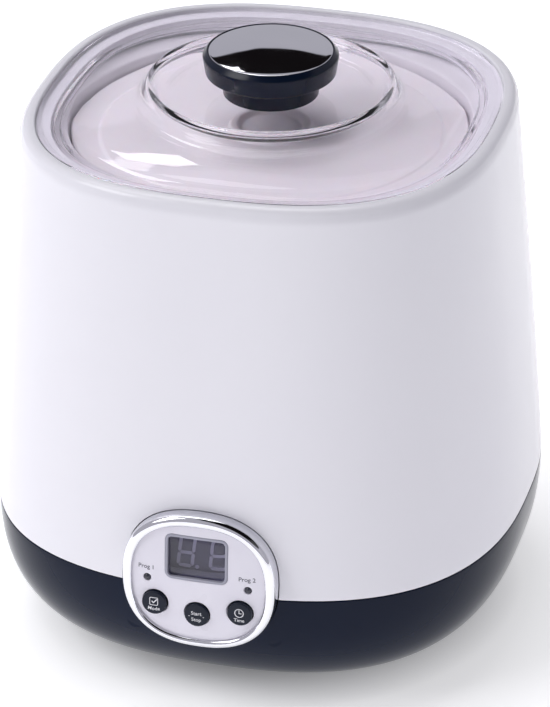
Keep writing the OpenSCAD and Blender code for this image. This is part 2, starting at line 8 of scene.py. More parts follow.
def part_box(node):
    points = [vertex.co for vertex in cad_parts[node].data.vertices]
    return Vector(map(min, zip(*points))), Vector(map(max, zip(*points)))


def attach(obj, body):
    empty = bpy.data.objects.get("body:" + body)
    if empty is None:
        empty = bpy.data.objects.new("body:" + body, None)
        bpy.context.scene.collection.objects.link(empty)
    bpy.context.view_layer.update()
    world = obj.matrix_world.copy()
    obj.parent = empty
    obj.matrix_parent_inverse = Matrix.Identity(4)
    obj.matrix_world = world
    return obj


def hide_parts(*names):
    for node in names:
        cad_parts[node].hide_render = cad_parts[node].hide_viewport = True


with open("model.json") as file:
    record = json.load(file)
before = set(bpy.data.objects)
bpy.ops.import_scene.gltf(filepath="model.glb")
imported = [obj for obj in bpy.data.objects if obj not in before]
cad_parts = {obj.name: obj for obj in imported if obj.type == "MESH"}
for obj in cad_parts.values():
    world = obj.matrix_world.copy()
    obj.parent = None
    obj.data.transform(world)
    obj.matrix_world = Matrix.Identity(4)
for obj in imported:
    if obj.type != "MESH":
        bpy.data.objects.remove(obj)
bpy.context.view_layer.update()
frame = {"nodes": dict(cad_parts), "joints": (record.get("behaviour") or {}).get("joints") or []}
scene = bpy.context.scene
mm = 0.001

# Heights and widths of the whole appliance, in millimetres, read from the frame
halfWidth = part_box("outer_housing")[1].x / mm        # at the seam, the widest line
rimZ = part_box("outer_housing")[1].z / mm             # top of the white housing
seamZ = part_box("base_shell")[1].z / mm + 0.2         # a 0.2 mm line parts base and housing
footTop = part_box("rating_plate")[1].z / mm + 0.05    # flat underside of the base
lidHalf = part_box("outer_lid")[1].x / mm
lipHalf = lidHalf - 4.5
plan = dict(squareness=2.6, taper=0.1213, sideCurve=1.1426, bowlCurve=2.46, bottomShare=0.539, wall=2.5)

# The panel's own frame: x to the right, y up the panel, z straight out of it
pressAxis = Vector(next(j["axis"] for j in frame["joints"] if j["name"] == "start_press"))
panelTilt = math.asin(-pressAxis.z)
panel = dict(proud=4, aboveSeam=5.4, cutFrom=-14, cutTo=6)
panelPlace = Matrix.Translation((0, -(halfWidth + panel["proud"]) * mm,
                                 (seamZ + panel["aboveSeam"]) * mm)) @ Matrix.Rotation(math.pi / 2 - panelTilt, 4, "X")


def linear(hexText, alpha=1):
    # sRGB hex to the linear colour that shaders use
    parts = [int(hexText[i:i + 2], 16) / 255 for i in (1, 3, 5)]
    return tuple(p / 12.92 if p <= 0.04045 else ((p + 0.055) / 1.055) ** 2.4 for p in parts) + (alpha,)


def addNode(tree, kind, settings=None, inputs=None):
    # adds one node; an input is a value, or another node or socket to link from
    node = tree.nodes.new(kind)
    for name, value in (settings or {}).items():
        setattr(node, name, value)
    for key, value in (inputs or {}).items():
        source = value.outputs[0] if isinstance(value, bpy.types.Node) else value
        if isinstance(source, bpy.types.NodeSocket):
            tree.links.new(source, node.inputs[key])
        else:
            node.inputs[key].default_value = source
    return node


def newMaterial(name):
    material = bpy.data.materials.new(name)
    material.use_nodes = True
    material.node_tree.nodes.clear()
    return material, material.node_tree


def mouldedFinish(name, main, other, roughness, grain, depth, ior=1.5, stretch=(1, 1, 1), detail=3, patches=30, metal=False, **shader):
    # Two close tones in soft patches, a roughness that wanders between two values, and a fine surface grain.
    # grain and patches are sizes in millimetres, depth is the height of the grain in millimetres
    material, tree = newMaterial(name)
    place = addNode(tree, "ShaderNodeTexCoord")
    turn = addNode(tree, "ShaderNodeMapping", None, {"Vector": place.outputs["Object"], "Scale": stretch})
    broad = addNode(tree, "ShaderNodeTexNoise", None, {"Vector": turn, "Scale": 1000 / patches, "Detail": 2.0})
    fine = addNode(tree, "ShaderNodeTexNoise", None, {"Vector": turn, "Scale": 1000 / grain, "Detail": float(detail)})
    tone = addNode(tree, "ShaderNodeMix", {"data_type": "RGBA"}, {0: broad.outputs["Fac"], 6: linear(main), 7: linear(other)})
    rough = addNode(tree, "ShaderNodeMapRange", None, {"Value": (fine if metal else broad).outputs["Fac"], "From Min": 0.3, "From Max": 0.7,
                                                       "To Min": roughness[0], "To Max": roughness[1]})
    bump = addNode(tree, "ShaderNodeBump", None, {"Height": fine.outputs["Fac"], "Distance": depth * mm, "Strength": 1.0})
    values = {"Base Color": tone.outputs[2], "Roughness": rough, "Normal": bump}
    values.update({"Metallic": 1.0} if metal else {"IOR": ior})   # a metal keeps the default IOR
    values.update({key.replace("_", " "): value for key, value in shader.items()})
    surface = addNode(tree, "ShaderNodeBsdfPrincipled", None, values)
    addNode(tree, "ShaderNodeOutputMaterial", None, {"Surface": surface})
    return material


def metalFinish(*look, **more):
    # a bare or plated metal: its lustre comes from a roughness drawn out along the way it was worked
    return mouldedFinish(*look, detail=4, metal=True, **more)


def clearFinish(name, tint, roughness, ior, grain, depth, shade, transmission=1.0, patches=40, **shader):
    # a see-through moulding; light passes it on its way to a surface, so what lies under it isn't blacked out
    material, tree = newMaterial(name)
    place = addNode(tree, "ShaderNodeTexCoord")
    broad = addNode(tree, "ShaderNodeTexNoise", None, {"Vector": place.outputs["Object"], "Scale": 1000 / patches, "Detail": 2.0})
    fine = addNode(tree, "ShaderNodeTexNoise", None, {"Vector": place.outputs["Object"], "Scale": 1000 / grain, "Detail": 2.0})
    rough = addNode(tree, "ShaderNodeMapRange", None, {"Value": broad.outputs["Fac"], "From Min": 0.3, "From Max": 0.7,
                                                       "To Min": roughness[0], "To Max": roughness[1]})
    bump = addNode(tree, "ShaderNodeBump", None, {"Height": fine.outputs["Fac"], "Distance": depth * mm, "Strength": 1.0})
    body = addNode(tree, "ShaderNodeBsdfPrincipled", None, {"Base Color": linear(tint), "Roughness": rough, "IOR": ior,
                                                            "Transmission Weight": transmission, "Normal": bump,
                                                                **{k.replace("_", " "): v for k, v in shader.items()}})
    rays = addNode(tree, "ShaderNodeLightPath")
    through = addNode(tree, "ShaderNodeBsdfTransparent", None, {"Color": linear(shade)})
    surface = addNode(tree, "ShaderNodeMixShader", None, {0: rays.outputs["Is Shadow Ray"], 1: body, 2: through})
    addNode(tree, "ShaderNodeOutputMaterial", None, {"Surface": surface})
    return material


def heaterFilmFinish():
    material, tree = newMaterial("amber polyimide heater film, etched")
    place = addNode(tree, "ShaderNodeTexCoord")
    bands = addNode(tree, "ShaderNodeTexWave", {"wave_type": "BANDS", "bands_direction": "Z"},
                    {"Vector": place.outputs["Object"], "Scale": 1000 / 4 / 20, "Distortion": 0.4})
    tone = addNode(tree, "ShaderNodeMix", {"data_type": "RGBA"}, {0: bands.outputs["Fac"], 6: linear("#B4651E"), 7: linear("#7E4416")})
    surface = addNode(tree, "ShaderNodeBsdfPrincipled", None, {"Base Color": tone.outputs[2], "Roughness": 0.22, "IOR": 1.7})
    addNode(tree, "ShaderNodeOutputMaterial", None, {"Surface": surface})
    return material


def ribbonFinish():
    material, tree = newMaterial("grey PVC ribbon cable, extruded")
    place = addNode(tree, "ShaderNodeTexCoord")
    ridges = addNode(tree, "ShaderNodeTexWave", {"wave_type": "BANDS", "bands_direction": "X"},
                     {"Vector": place.outputs["Object"], "Scale": 1000 / 1.3 / 20})
    tone = addNode(tree, "ShaderNodeMix", {"data_type": "RGBA"}, {0: ridges.outputs["Fac"], 6: linear("#8E8E8B"), 7: linear("#A8A8A4")})
    bump = addNode(tree, "ShaderNodeBump", None, {"Height": ridges.outputs["Fac"], "Distance": 0.3 * mm})
    surface = addNode(tree, "ShaderNodeBsdfPrincipled", None, {"Base Color": tone.outputs[2], "Roughness": 0.5, "Normal": bump})
    addNode(tree, "ShaderNodeOutputMaterial", None, {"Surface": surface})
    return material


print("materials")
# Injection-moulded gloss ABS: near white with a cool lilac cast, sharp reflections on a faintly rippled skin
whiteAbs = mouldedFinish("gloss white ABS, injection moulded", "#F4F3F8", "#EFEEF5", (0.16, 0.22), 3.0, 0.004, ior=1.53, patches=90)
# The same resin dyed navy: nearly black, so it shows little but its reflections
navyAbs = mouldedFinish("gloss navy ABS, injection moulded", "#0C1830", "#0A1428", (0.1, 0.16), 3.5, 0.003, ior=1.54, patches=70,
                        Specular_IOR_Level=0.13)
# Key caps and knob in navy ABS, a touch softer than the base where fingers touch them
navyTouch = mouldedFinish("navy ABS, satin moulded", "#0C172B", "#0A1324", (0.16, 0.26), 0.6, 0.003, ior=1.53, patches=8,
                          Specular_IOR_Level=0.25)
# Clear polycarbonate, injection moulded: thin and glassy. An index below the real 1.58 keeps its steps from drawing black lines,
# and the coat gives back the gloss
clearPc = clearFinish("clear polycarbonate, injection moulded", "#FAF8FB", (0.015, 0.035), 1.11, 6.0, 0.003, "#F4F2F7", Coat_Weight=0.8,
                      Coat_IOR=1.45)
# Lightly smoked acrylic window: a faint violet-grey veil over the figures
smokedAcrylic = clearFinish("smoked acrylic, moulded", "#C9C7D6", (0.03, 0.06), 1.49, 4.0, 0.001, "#D8D6E2", patches=9)
# Bright chrome on ABS: a mirror with the soft waviness of the moulding under it
chromePlate = metalFinish("bright chrome plate on ABS", "#EDEDF1", "#E4E5EA", (0.02, 0.05), 8.0, 0.002, patches=25)
# Fascia in fine-sparked white ABS: pale lilac with a silky sheen
fasciaAbs = mouldedFinish("white ABS, fine sparked", "#EEECF5", "#E9E6F1", (0.26, 0.36), 0.5, 0.004, ior=1.53, patches=14)
# Window frame in light grey ABS, satin
greyAbs = mouldedFinish("light grey ABS, satin moulded", "#A9A9B7", "#A0A0AF", (0.3, 0.4), 0.4, 0.003, ior=1.52, patches=8)
# Epoxy-filled display block, matt grey with a fine cast grain
displayEpoxy = mouldedFinish("cast grey display epoxy", "#6C6A82", "#64627A", (0.45, 0.6), 0.3, 0.004, patches=4)
# Diffusing epoxy of the unlit bars: pale, slightly waxy
segmentEpoxy = mouldedFinish("diffusing epoxy, unlit", "#F1F0F8", "#E6E5F0", (0.35, 0.5), 0.25, 0.003, patches=1.5)
# Unlit lamp lens: dark smoke epoxy with a small highlight
lampEpoxy = mouldedFinish("smoke epoxy lamp lens, cast", "#3A3B47", "#30313C", (0.1, 0.2), 0.5, 0.001, ior=1.55, patches=1.2)
# White pad-printed ink on the keys: flat white with a slightly broken edge tone
whiteInk = mouldedFinish("white pad-printed ink", "#F1F1F4", "#DEDEE4", (0.5, 0.65), 0.15, 0.002, patches=0.6)
# Grey pad-printed ink on the fascia
greyInk = mouldedFinish("grey pad-printed ink", "#4F4E5C", "#62616F", (0.5, 0.65), 0.15, 0.002, patches=0.6)
# Moulded nitrile rubber: matt charcoal with a powdery bloom
footRubber = mouldedFinish("black nitrile rubber, moulded", "#1B1B1D", "#242427", (0.65, 0.85), 0.5, 0.02, ior=1.52, patches=5)
# Zinc-plated steel screws: cool grey, with fine turning marks round the head
zincSteel = metalFinish("zinc-plated steel, cold headed", "#B9BBC0", "#A4A8B2", (0.24, 0.4), 0.4, 0.01, patches=2)
# Pressed spring steel of the clips and brackets, with rolling marks along its length
springSteel = metalFinish("spring steel, rolled and pressed", "#A9A9AA", "#98999C", (0.28, 0.45), 0.6, 0.008, stretch=(0.2, 1, 1),
                          patches=6)
# Deep-drawn aluminium well under a pale sol-gel ceramic coat: nearly white, with a soft satin gloss
coatedAluminium = mouldedFinish("pale ceramic coat on deep-drawn aluminium", "#ECE9EE", "#E4E1E8", (0.3, 0.42), 0.7, 0.01, ior=1.5,
                                patches=20)
# Silicone gasket: soft translucent grey
siliconeGasket = mouldedFinish("translucent silicone, die cut", "#B5B5BA", "#A9A9AF", (0.5, 0.65), 0.8, 0.01, ior=1.41, patches=6,
                               Subsurface_Weight=0.15, Subsurface_Scale=0.002)
# Jar in natural polypropylene: milky, lets light in a little way
jarPp = mouldedFinish("natural polypropylene, injection moulded", "#E7E8EC", "#DFE0E6", (0.3, 0.42), 1.2, 0.006, ior=1.49, patches=35,
                      Subsurface_Weight=0.3, Subsurface_Scale=0.004, Transmission_Weight=0.12)
# Jar lid in white polypropylene: waxy, with a soft sheen
jarLidPp = mouldedFinish("white polypropylene, injection moulded", "#F3EEF1", "#ECE7EB", (0.3, 0.42), 1.0, 0.008, ior=1.49, patches=25,
                         Subsurface_Weight=0.1, Subsurface_Scale=0.003)
# Panel carrier, switches and chips in black glass-filled nylon: matt with a rough fibre grain
blackNylon = mouldedFinish("black glass-filled nylon, moulded", "#1E1F22", "#2A2B2F", (0.5, 0.7), 0.7, 0.02, ior=1.53, patches=3)
# Solder-masked control board: green lacquer over copper
boardGreen = mouldedFinish("green solder mask on glass epoxy", "#14512F", "#1B6238", (0.25, 0.4), 1.2, 0.01, patches=2.5)
# Paper-phenolic power board: tan with a fibrous grain
boardTan = mouldedFinish("tan paper-phenolic laminate", "#A98A4E", "#967742", (0.45, 0.6), 0.8, 0.015, stretch=(1, 0.2, 1), patches=5)
# Blue relay case in polyester
relayBlue = mouldedFinish("blue polyester relay case, moulded", "#1F5AA8", "#1B4F96", (0.25, 0.35), 0.8, 0.005, patches=5)
# Green polyamide terminal block
terminalGreen = mouldedFinish("green polyamide, moulded", "#2E8A55", "#27794A", (0.35, 0.5), 0.6, 0.01, patches=3)
# Glazed cream ceramic of the thermal fuse
creamCeramic = mouldedFinish("cream glazed ceramic", "#DDD5BE", "#D2C8AE", (0.2, 0.35), 0.8, 0.006, ior=1.52, patches=3)
# Polyimide heater film: amber, glossy, with etched tracks showing as darker bands 4 mm apart
heaterFilm = heaterFilmFinish()
# Coated steel laminations and varnished winding of the transformer
lacquerSteel = mouldedFinish("black lacquered laminations", "#3A383C", "#47454A", (0.35, 0.55), 0.5, 0.03, stretch=(1, 1, 0.05), patches=4)
# Sleeved electrolytic capacitors: dark blue shrink film
shrinkSleeve = mouldedFinish("dark blue shrink sleeve", "#232B52", "#1C2344", (0.25, 0.4), 1.5, 0.01, patches=4)
# Silicone-insulated leads
leadSkin = mouldedFinish("red silicone lead insulation, extruded", "#8C2020", "#7A1B1B", (0.45, 0.6), 0.8, 0.01, patches=4)
# Flat grey PVC ribbon with its wires showing as ridges 1.3 mm apart
ribbonPvc = ribbonFinish()
# Foil rating plate: brushed aluminium under a clear lacquer, brushed along its length
plateFoil = metalFinish("brushed aluminium foil label", "#C9CACE", "#BBBDC2", (0.28, 0.4), 0.25, 0.003, stretch=(0.04, 1, 1), patches=8)
# Plungers of the key switches in ivory acetal
ivoryAcetal = mouldedFinish("ivory acetal, moulded", "#D8D6C8", "#CFCCBC", (0.3, 0.4), 0.5, 0.004, ior=1.48, patches=2)


def softened(points, steps=4):
    # A closed profile with its corners rounded. A point's last number is how far along its sides the rounding starts
    out = []
    for i, point in enumerate(points):
        here, reach = point[:-1], point[-1]
        ends = []
        for other in (points[i - 1][:-1], points[(i + 1) % len(points)][:-1]):
            length = math.dist((here[0], here[-1]), (other[0], other[-1]))
            share = min(reach / length, 0.49) if length > 1e-9 else 0
            ends.append([h + (o - h) * share for h, o in zip(here, other)])
        if reach <= 0:
            out.append(tuple(here))
            continue
        for k in range(steps + 1):
            t = k / steps
            out.append(tuple((1 - t) ** 2 * a + 2 * t * (1 - t) * h + t * t * b for a, h, b in zip(ends[0], here, ends[1])))
    return out


def tidyMesh(mesh, sharpAngle=0.7):
    # joins doubles, turns every face outwards, and keeps only real corners sharp
    work = bmesh.new()
    work.from_mesh(mesh)
    bmesh.ops.remove_doubles(work, verts=work.verts, dist=1e-7)
    bmesh.ops.dissolve_degenerate(work, edges=work.edges, dist=1e-8)
    bmesh.ops.recalc_face_normals(work, faces=work.faces)
    work.to_mesh(mesh)
    work.free()
    mesh.polygons.foreach_set("use_smooth", [True] * len(mesh.polygons))
    mesh.set_sharp_from_angle(angle=sharpAngle)
    mesh.update()
    return mesh


def skinned(loops, ring=False, place=None, sharpAngle=0.7):
    # a closed solid through loops of points in millimetres; a ring closes on itself, otherwise its ends are capped
    work = bmesh.new()
    count = len(loops[0])
    rows = [[work.verts.new([c * mm for c in p]) for p in loop] for loop in loops]
    pairs = list(zip(rows, rows[1:])) + ([(rows[-1], rows[0])] if ring else [])
    for low, high in pairs:
        for i in range(count):
            j = (i + 1) % count
            work.faces.new((low[i], low[j], high[j], high[i]))
    if not ring:
        for row in (rows[0], rows[-1]):
            if (row[0].co - row[count // 2].co).length > 1e-7:
                work.faces.new(row)
    mesh = bpy.data.meshes.new("part")
    work.to_mesh(mesh)
    work.free()
    if place:
        mesh.transform(place)
    return tidyMesh(mesh, sharpAngle)


def turned(points, around=64, at=(0, 0), ring=False, place=None, sharpAngle=0.7):
    # a round solid from its half section of (radius, height)
    loops = [[(at[0] + r * math.cos(2 * math.pi * k / around), at[1] + r * math.sin(2 * math.pi * k / around),
               z) for k in range(around)] for r, z in points]
    return skinned(loops, ring, place, sharpAngle)


def rod(radius, low, high, around, at, place=None):
    return turned([(0, low), (radius, low), (radius, high), (0, high)], around, at, place=place)


def roundedOutline(width, height, radius, steps=7, centre=(0, 0)):
    out = []
    for corner, (sx, sy) in enumerate(((1, 1), (-1, 1), (-1, -1), (1, -1))):
        for k in range(steps + 1):
            a = math.pi / 2 * (corner + k / steps)
            out.append((centre[0] + sx * (width / 2 - radius) + radius * math.cos(a),
                        centre[1] + sy * (height / 2 - radius) + radius * math.sin(a)))
    return out


def squareOutline(halfX, halfY, squareness, shiftY=0, around=160):
    out = []
    for k in range(around):
        c, s = math.cos(2 * math.pi * k / around), math.sin(2 * math.pi * k / around)
        r = (abs(c) ** squareness + abs(s) ** squareness) ** (-1 / squareness)
        out.append((halfX * r * c, halfY * r * s + shiftY))
    return out


def raised(outline, z):
    return [(x, y, z) for x, y in outline]


def merged(meshes):
    # several closed meshes as one, each left whole
    work = bmesh.new()
    for mesh in meshes:
        work.from_mesh(mesh)
    out = bpy.data.meshes.new("part")
    work.to_mesh(out)
    work.free()
    return out


def baked(piece, sharpAngle=0.7, place=None):
    # the piece with its modifiers applied, as a plain mesh
    mesh = bpy.data.meshes.new_from_object(piece.evaluated_get(bpy.context.evaluated_depsgraph_get()))
    bpy.data.objects.remove(piece)
    if place:
        mesh.transform(place)
    return tidyMesh(mesh, sharpAngle)


def reshaped(mesh, add=None, cut=None, sharpAngle=0.7):
    # joins one mesh to another and cuts a third out of it
    piece = bpy.data.objects.new("work", mesh)
    scene.collection.objects.link(piece)
    helpers = []
    for other, operation in ((add, "UNION"), (cut, "DIFFERENCE")):
        if other:
            helper = bpy.data.objects.new("helper", other)
            scene.collection.objects.link(helper)
            helpers.append(helper)
            modifier = piece.modifiers.new(operation, "BOOLEAN")
            modifier.operation, modifier.object, modifier.solver = operation, helper, "EXACT"
    out = baked(piece, sharpAngle)
    for helper in helpers:
        bpy.data.objects.remove(helper)
    return out


def addPiece(name, mesh, material, body, slot, *nodes):
    mesh.name = name
    mesh.materials.clear()
    mesh.materials.append(material)
    mesh.polygons.foreach_set("material_index", [0] * len(mesh.polygons))
    piece = bpy.data.objects.new(name, mesh)
    scene.collection.objects.link(piece)
    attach(piece, body)
    if nodes:
        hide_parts(*nodes)
    return piece


def newTree(name, **inputs):
    tree = bpy.data.node_groups.new(name, "GeometryNodeTree")
    for label, kind in inputs.items():
        tree.interface.new_socket(label, in_out="INPUT", socket_type="NodeSocket" + kind)
    tree.interface.new_socket("Geometry", in_out="OUTPUT", socket_type="NodeSocketGeometry")
    return tree


def squareLatheTree():
    # Sweeps a section round a soft-square outline. Each point of the input mesh is one row: (half width, squareness, height),
    # with its half depth and its shift in depth as attributes
    tree = newTree("squareLathe", Section="Geometry", Around="Int", Finish="Material")
    given = addNode(tree, "NodeGroupInput")
    rows = addNode(tree, "GeometryNodeAttributeDomainSize", {"component": "MESH"}, {"Geometry": given.outputs["Section"]})
    across = addNode(tree, "ShaderNodeMath", {"operation": "ADD"}, {0: given.outputs["Around"], 1: 1.0})
    grid = addNode(tree, "GeometryNodeMeshGrid", None, {"Vertices X": rows.outputs["Point Count"], "Vertices Y": across})
    index = addNode(tree, "GeometryNodeInputIndex")
    quotient = addNode(tree, "ShaderNodeMath", {"operation": "DIVIDE"}, {0: index, 1: across})
    row = addNode(tree, "ShaderNodeMath", {"operation": "FLOOR"}, {0: quotient})
    passed = addNode(tree, "ShaderNodeMath", {"operation": "MULTIPLY"}, {0: row, 1: across})
    column = addNode(tree, "ShaderNodeMath", {"operation": "SUBTRACT"}, {0: index, 1: passed})
    place = addNode(tree, "GeometryNodeInputPosition")
    section = addNode(tree, "GeometryNodeSampleIndex", {"data_type": "FLOAT_VECTOR"},
                      {"Geometry": given.outputs["Section"], "Value": place, "Index": row})
    depth, shift = [
        addNode(tree, "GeometryNodeSampleIndex", {"data_type": "FLOAT"}, {
            "Geometry": given.outputs["Section"], "Index": row,
            "Value": addNode(tree, "GeometryNodeInputNamedAttribute", {"data_type": "FLOAT"}, {"Name": name}),
        }) for name in ("halfDepth", "shift")]
    parts = addNode(tree, "ShaderNodeSeparateXYZ", None, {0: section})
    angleStep = addNode(tree, "ShaderNodeMath", {"operation": "DIVIDE"}, {0: 2 * math.pi, 1: given.outputs["Around"]})
    angle = addNode(tree, "ShaderNodeMath", {"operation": "MULTIPLY"}, {0: column, 1: angleStep})
    cosine = addNode(tree, "ShaderNodeMath", {"operation": "COSINE"}, {0: angle})
    sine = addNode(tree, "ShaderNodeMath", {"operation": "SINE"}, {0: angle})
    powers = [
        addNode(tree, "ShaderNodeMath", {"operation": "POWER"}, {
            0: addNode(tree, "ShaderNodeMath", {"operation": "ABSOLUTE"}, {0: part}), 1: parts.outputs["Y"],
        }) for part in (cosine, sine)]
    total = addNode(tree, "ShaderNodeMath", {"operation": "ADD"}, {0: powers[0], 1: powers[1]})
    inverse = addNode(tree, "ShaderNodeMath", {"operation": "DIVIDE"}, {0: -1.0, 1: parts.outputs["Y"]})
    reach = addNode(tree, "ShaderNodeMath", {"operation": "POWER"}, {0: total, 1: inverse})
    wide = addNode(tree, "ShaderNodeMath", {"operation": "MULTIPLY"}, {0: reach, 1: parts.outputs["X"]})
    deep = addNode(tree, "ShaderNodeMath", {"operation": "MULTIPLY"}, {0: reach, 1: depth})
    x = addNode(tree, "ShaderNodeMath", {"operation": "MULTIPLY"}, {0: wide, 1: cosine})
    y = addNode(tree, "ShaderNodeMath", {"operation": "MULTIPLY_ADD"}, {0: deep, 1: sine, 2: shift})
    point = addNode(tree, "ShaderNodeCombineXYZ", None, {0: x, 1: y, 2: parts.outputs["Z"]})
    shaped = addNode(tree, "GeometryNodeSetPosition", None, {"Geometry": grid, "Position": point})
    closed = addNode(tree, "GeometryNodeMergeByDistance", None, {"Geometry": shaped, "Distance": 1e-7})
    real = addNode(tree, "GeometryNodeRealizeInstances", None, {"Geometry": closed})
    finished = addNode(tree, "GeometryNodeSetMaterial", None, {"Geometry": real, "Material": given.outputs["Finish"]})
    addNode(tree, "NodeGroupOutput", None, {"Geometry": finished})
    return tree


def setOutTree():
    # puts one shape at every given point, as with feet and screws
    tree = newTree("setOut", Points="Geometry", Shape="Object", Finish="Material")
    given = addNode(tree, "NodeGroupInput")
    shape = addNode(tree, "GeometryNodeObjectInfo", None, {"Object": given.outputs["Shape"]})
    copies = addNode(tree, "GeometryNodeInstanceOnPoints", None, {"Points": given.outputs["Points"], "Instance": shape.outputs["Geometry"]})
    real = addNode(tree, "GeometryNodeRealizeInstances", None, {"Geometry": copies})
    finished = addNode(tree, "GeometryNodeSetMaterial", None, {"Geometry": real, "Material": given.outputs["Finish"]})
    addNode(tree, "NodeGroupOutput", None, {"Geometry": finished})
    return tree


squareLathe = squareLatheTree()
setOut = setOutTree()


def runTree(piece, tree, **values):
    # adds the tree as a modifier and sets its named inputs by their identifiers
    modifier = piece.modifiers.new(tree.name, "NODES")
    modifier.node_group = tree
    for item in tree.interface.items_tree:
        if item.in_out == "INPUT" and item.name in values:
            modifier[item.identifier] = values[item.name]
    piece.update_tag()


def squareTurned(rows, finish, around=224, place=None, sharpAngle=0.7):
    # rows: (half width, squareness, height) or (half width, half depth, shift in depth, squareness, height), in millimetres, closing on
    # themselves
    full = [r if len(r) == 5 else (r[0], r[0], 0, r[1], r[2]) for r in rows]
    if full[0][0] > 1e-6:
        full.append(full[0])
    mesh = bpy.data.meshes.new("section")
    mesh.from_pydata([(r[0] * mm, r[3], r[4] * mm) for r in full], [(i, i + 1) for i in range(len(full) - 1)], [])
    for name, column in (("halfDepth", 1), ("shift", 2)):
        mesh.attributes.new(name, "FLOAT", "POINT").data.foreach_set("value", [r[column] * mm for r in full])
    piece = bpy.data.objects.new("section", mesh)
    scene.collection.objects.link(piece)
    runTree(piece, squareLathe, Around=around, Finish=finish)
    return baked(piece, sharpAngle, place)


def setOutAt(mesh, points, finish, sharpAngle=0.7):
    shape = bpy.data.objects.new("shape", mesh)
    scene.collection.objects.link(shape)
    spots = bpy.data.meshes.new("spots")
    spots.from_pydata([[c * mm for c in p] for p in points], [], [])
    piece = bpy.data.objects.new("spots", spots)
    scene.collection.objects.link(piece)
    runTree(piece, setOut, Shape=shape, Finish=finish)
    out = baked(piece, sharpAngle)
    bpy.data.objects.remove(shape)
    return out


def steps(first, last, count):
    return [first + (last - first) * i / (count - 1) for i in range(count)]


def fourCorners(distance, z=0):
    return [(sx * distance, sy * distance, z) for sx in (-1, 1) for sy in (-1, 1)]


def panelCentre(node):
    # where a node's middle lies on the panel, (x, y) in millimetres
    low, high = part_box(node)
    point = panelPlace.inverted() @ ((low + high) / 2)
    return point.x / mm, point.y / mm


# Panel sizes, in the panel's own frame
bezel = dict(halfW=25.4, halfH=23.7, squareness=2.35, back=-11.7, around=256)
keyAt = {name: panelCentre(name + "_button") for name in ("mode", "start", "time")}
windowAt = panelCentre("display_frame")
lampReach = (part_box("indicator_leds")[1].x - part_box("indicator_leds")[0].x) / mm / 2 - 1.9
lampMiddle = panelCentre("indicator_leds")
lampAt = [(lampMiddle[0] - lampReach, lampMiddle[1]), (lampMiddle[0] + lampReach, lampMiddle[1])]
fascia = dict(halfW=22.95, halfH=21.25, shift=-0.32, squareness=2.46, back=-3.2, apex=0.3, dome=168, domeY=-0.4, keyHole=4.35, lampHole=1.3)
window = dict(width=18.8, height=13.8, wall=0.95, recess=-6.2, proud=0.25, lensDepth=0.5)
carrier = dict(front=-11.8, bossTop=-7.8, bossR=2.9, board=-16.8)
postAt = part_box("base_screws")[1].x / mm - 3.3       # corner posts, same distance on x and y
foot = dict(radius=7.0, height=2.4, peg=2.0, dish=0.25)
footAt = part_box("rubber_feet")[1].x / mm - foot["radius"]
bossAt = [(sx * 23, sy * 21) for sx in (-1, 1) for sy in (-1, 1)]


def housingHalf(z):
    height = rimZ - seamZ
    return halfWidth * (1 - plan["taper"] * (max(0, z - seamZ) / height) ** plan["sideCurve"])


def fasciaHeight(x, y):
    return fascia["apex"] - fascia["dome"] + math.sqrt(fascia["dome"] ** 2 - x ** 2 - (y - fascia["domeY"]) ** 2)


def panelCutter():
    outline = squareOutline(bezel["halfW"] + 0.2, bezel["halfH"] + 0.2, bezel["squareness"])
    return skinned([raised(outline, panel["cutFrom"]), raised(outline, panel["cutTo"])], place=panelPlace)


# Housing: white shell with the rebate that the lid sits in
housing = dict(rimRound=3.0, lidGap=0.3, ledge=2.4, lip=7.0, levels=56, innerLevels=16, around=288)


def makeHousing():
    n = plan["squareness"]
    rows = [(housingHalf(z), n, z, 0.4 if z == seamZ else 0) for z in steps(seamZ, rimZ - housing["rimRound"], housing["levels"])]
    rim = housingHalf(rimZ)
    for q in steps(10, 90, 9):
        a = math.radians(q)
        rows.append((rim - housing["rimRound"] * (1 - math.cos(a)), n, rimZ - housing["rimRound"] * (1 - math.sin(a)), 0))
    edge = lidHalf + housing["lidGap"]
    rows += [(edge + 0.5, n, rimZ, 0.2), (edge, n, rimZ - 0.5, 0.3), (edge, n, rimZ - housing["ledge"], 0.3),
             (lipHalf + 0.3, n, rimZ - housing["ledge"], 0.15),
             (lipHalf, n, rimZ - housing["ledge"] - 0.3, 0.15), (lipHalf, n, rimZ - housing["lip"], 0.2)]
    rows += [(housingHalf(z) - plan["wall"], n, z, 0) for z in steps(rimZ - housing["lip"], seamZ, housing["innerLevels"])]
    shell = squareTurned(softened(rows), whiteAbs, housing["around"])
    posts = [rod(4.5, seamZ - 5, seamZ + 22, 32, p) for p in fourCorners(postAt)]
    bosses = [rod(carrier["bossR"], carrier["front"], carrier["bossTop"], 32, p, place=panelPlace) for p in bossAt if p[1] > 0]
    holes = [rod(1.55, seamZ - 6, seamZ + 13, 24, p) for p in fourCorners(postAt)]
    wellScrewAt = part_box("well_screws")[1].x / mm - 2.4
    holes += [rod(1.25, rimZ - 8, rimZ - 3.6, 24, p) for p in fourCorners(wellScrewAt)]
    return reshaped(shell, merged(posts + bosses), merged(holes + [panelCutter()]), 0.6)


print("housing")
addPiece("white_housing", makeHousing(), whiteAbs, "appliance", "white_abs", "outer_housing")

# Base: dark bowl with screw wells, cooling slots, and the bush for the cord
base = dict(levels=56, innerLevels=24, around=288, inner=3.0, screwWell=3.7, towerR=5.0, slots=7, slotW=2.0, slotL=16.0)


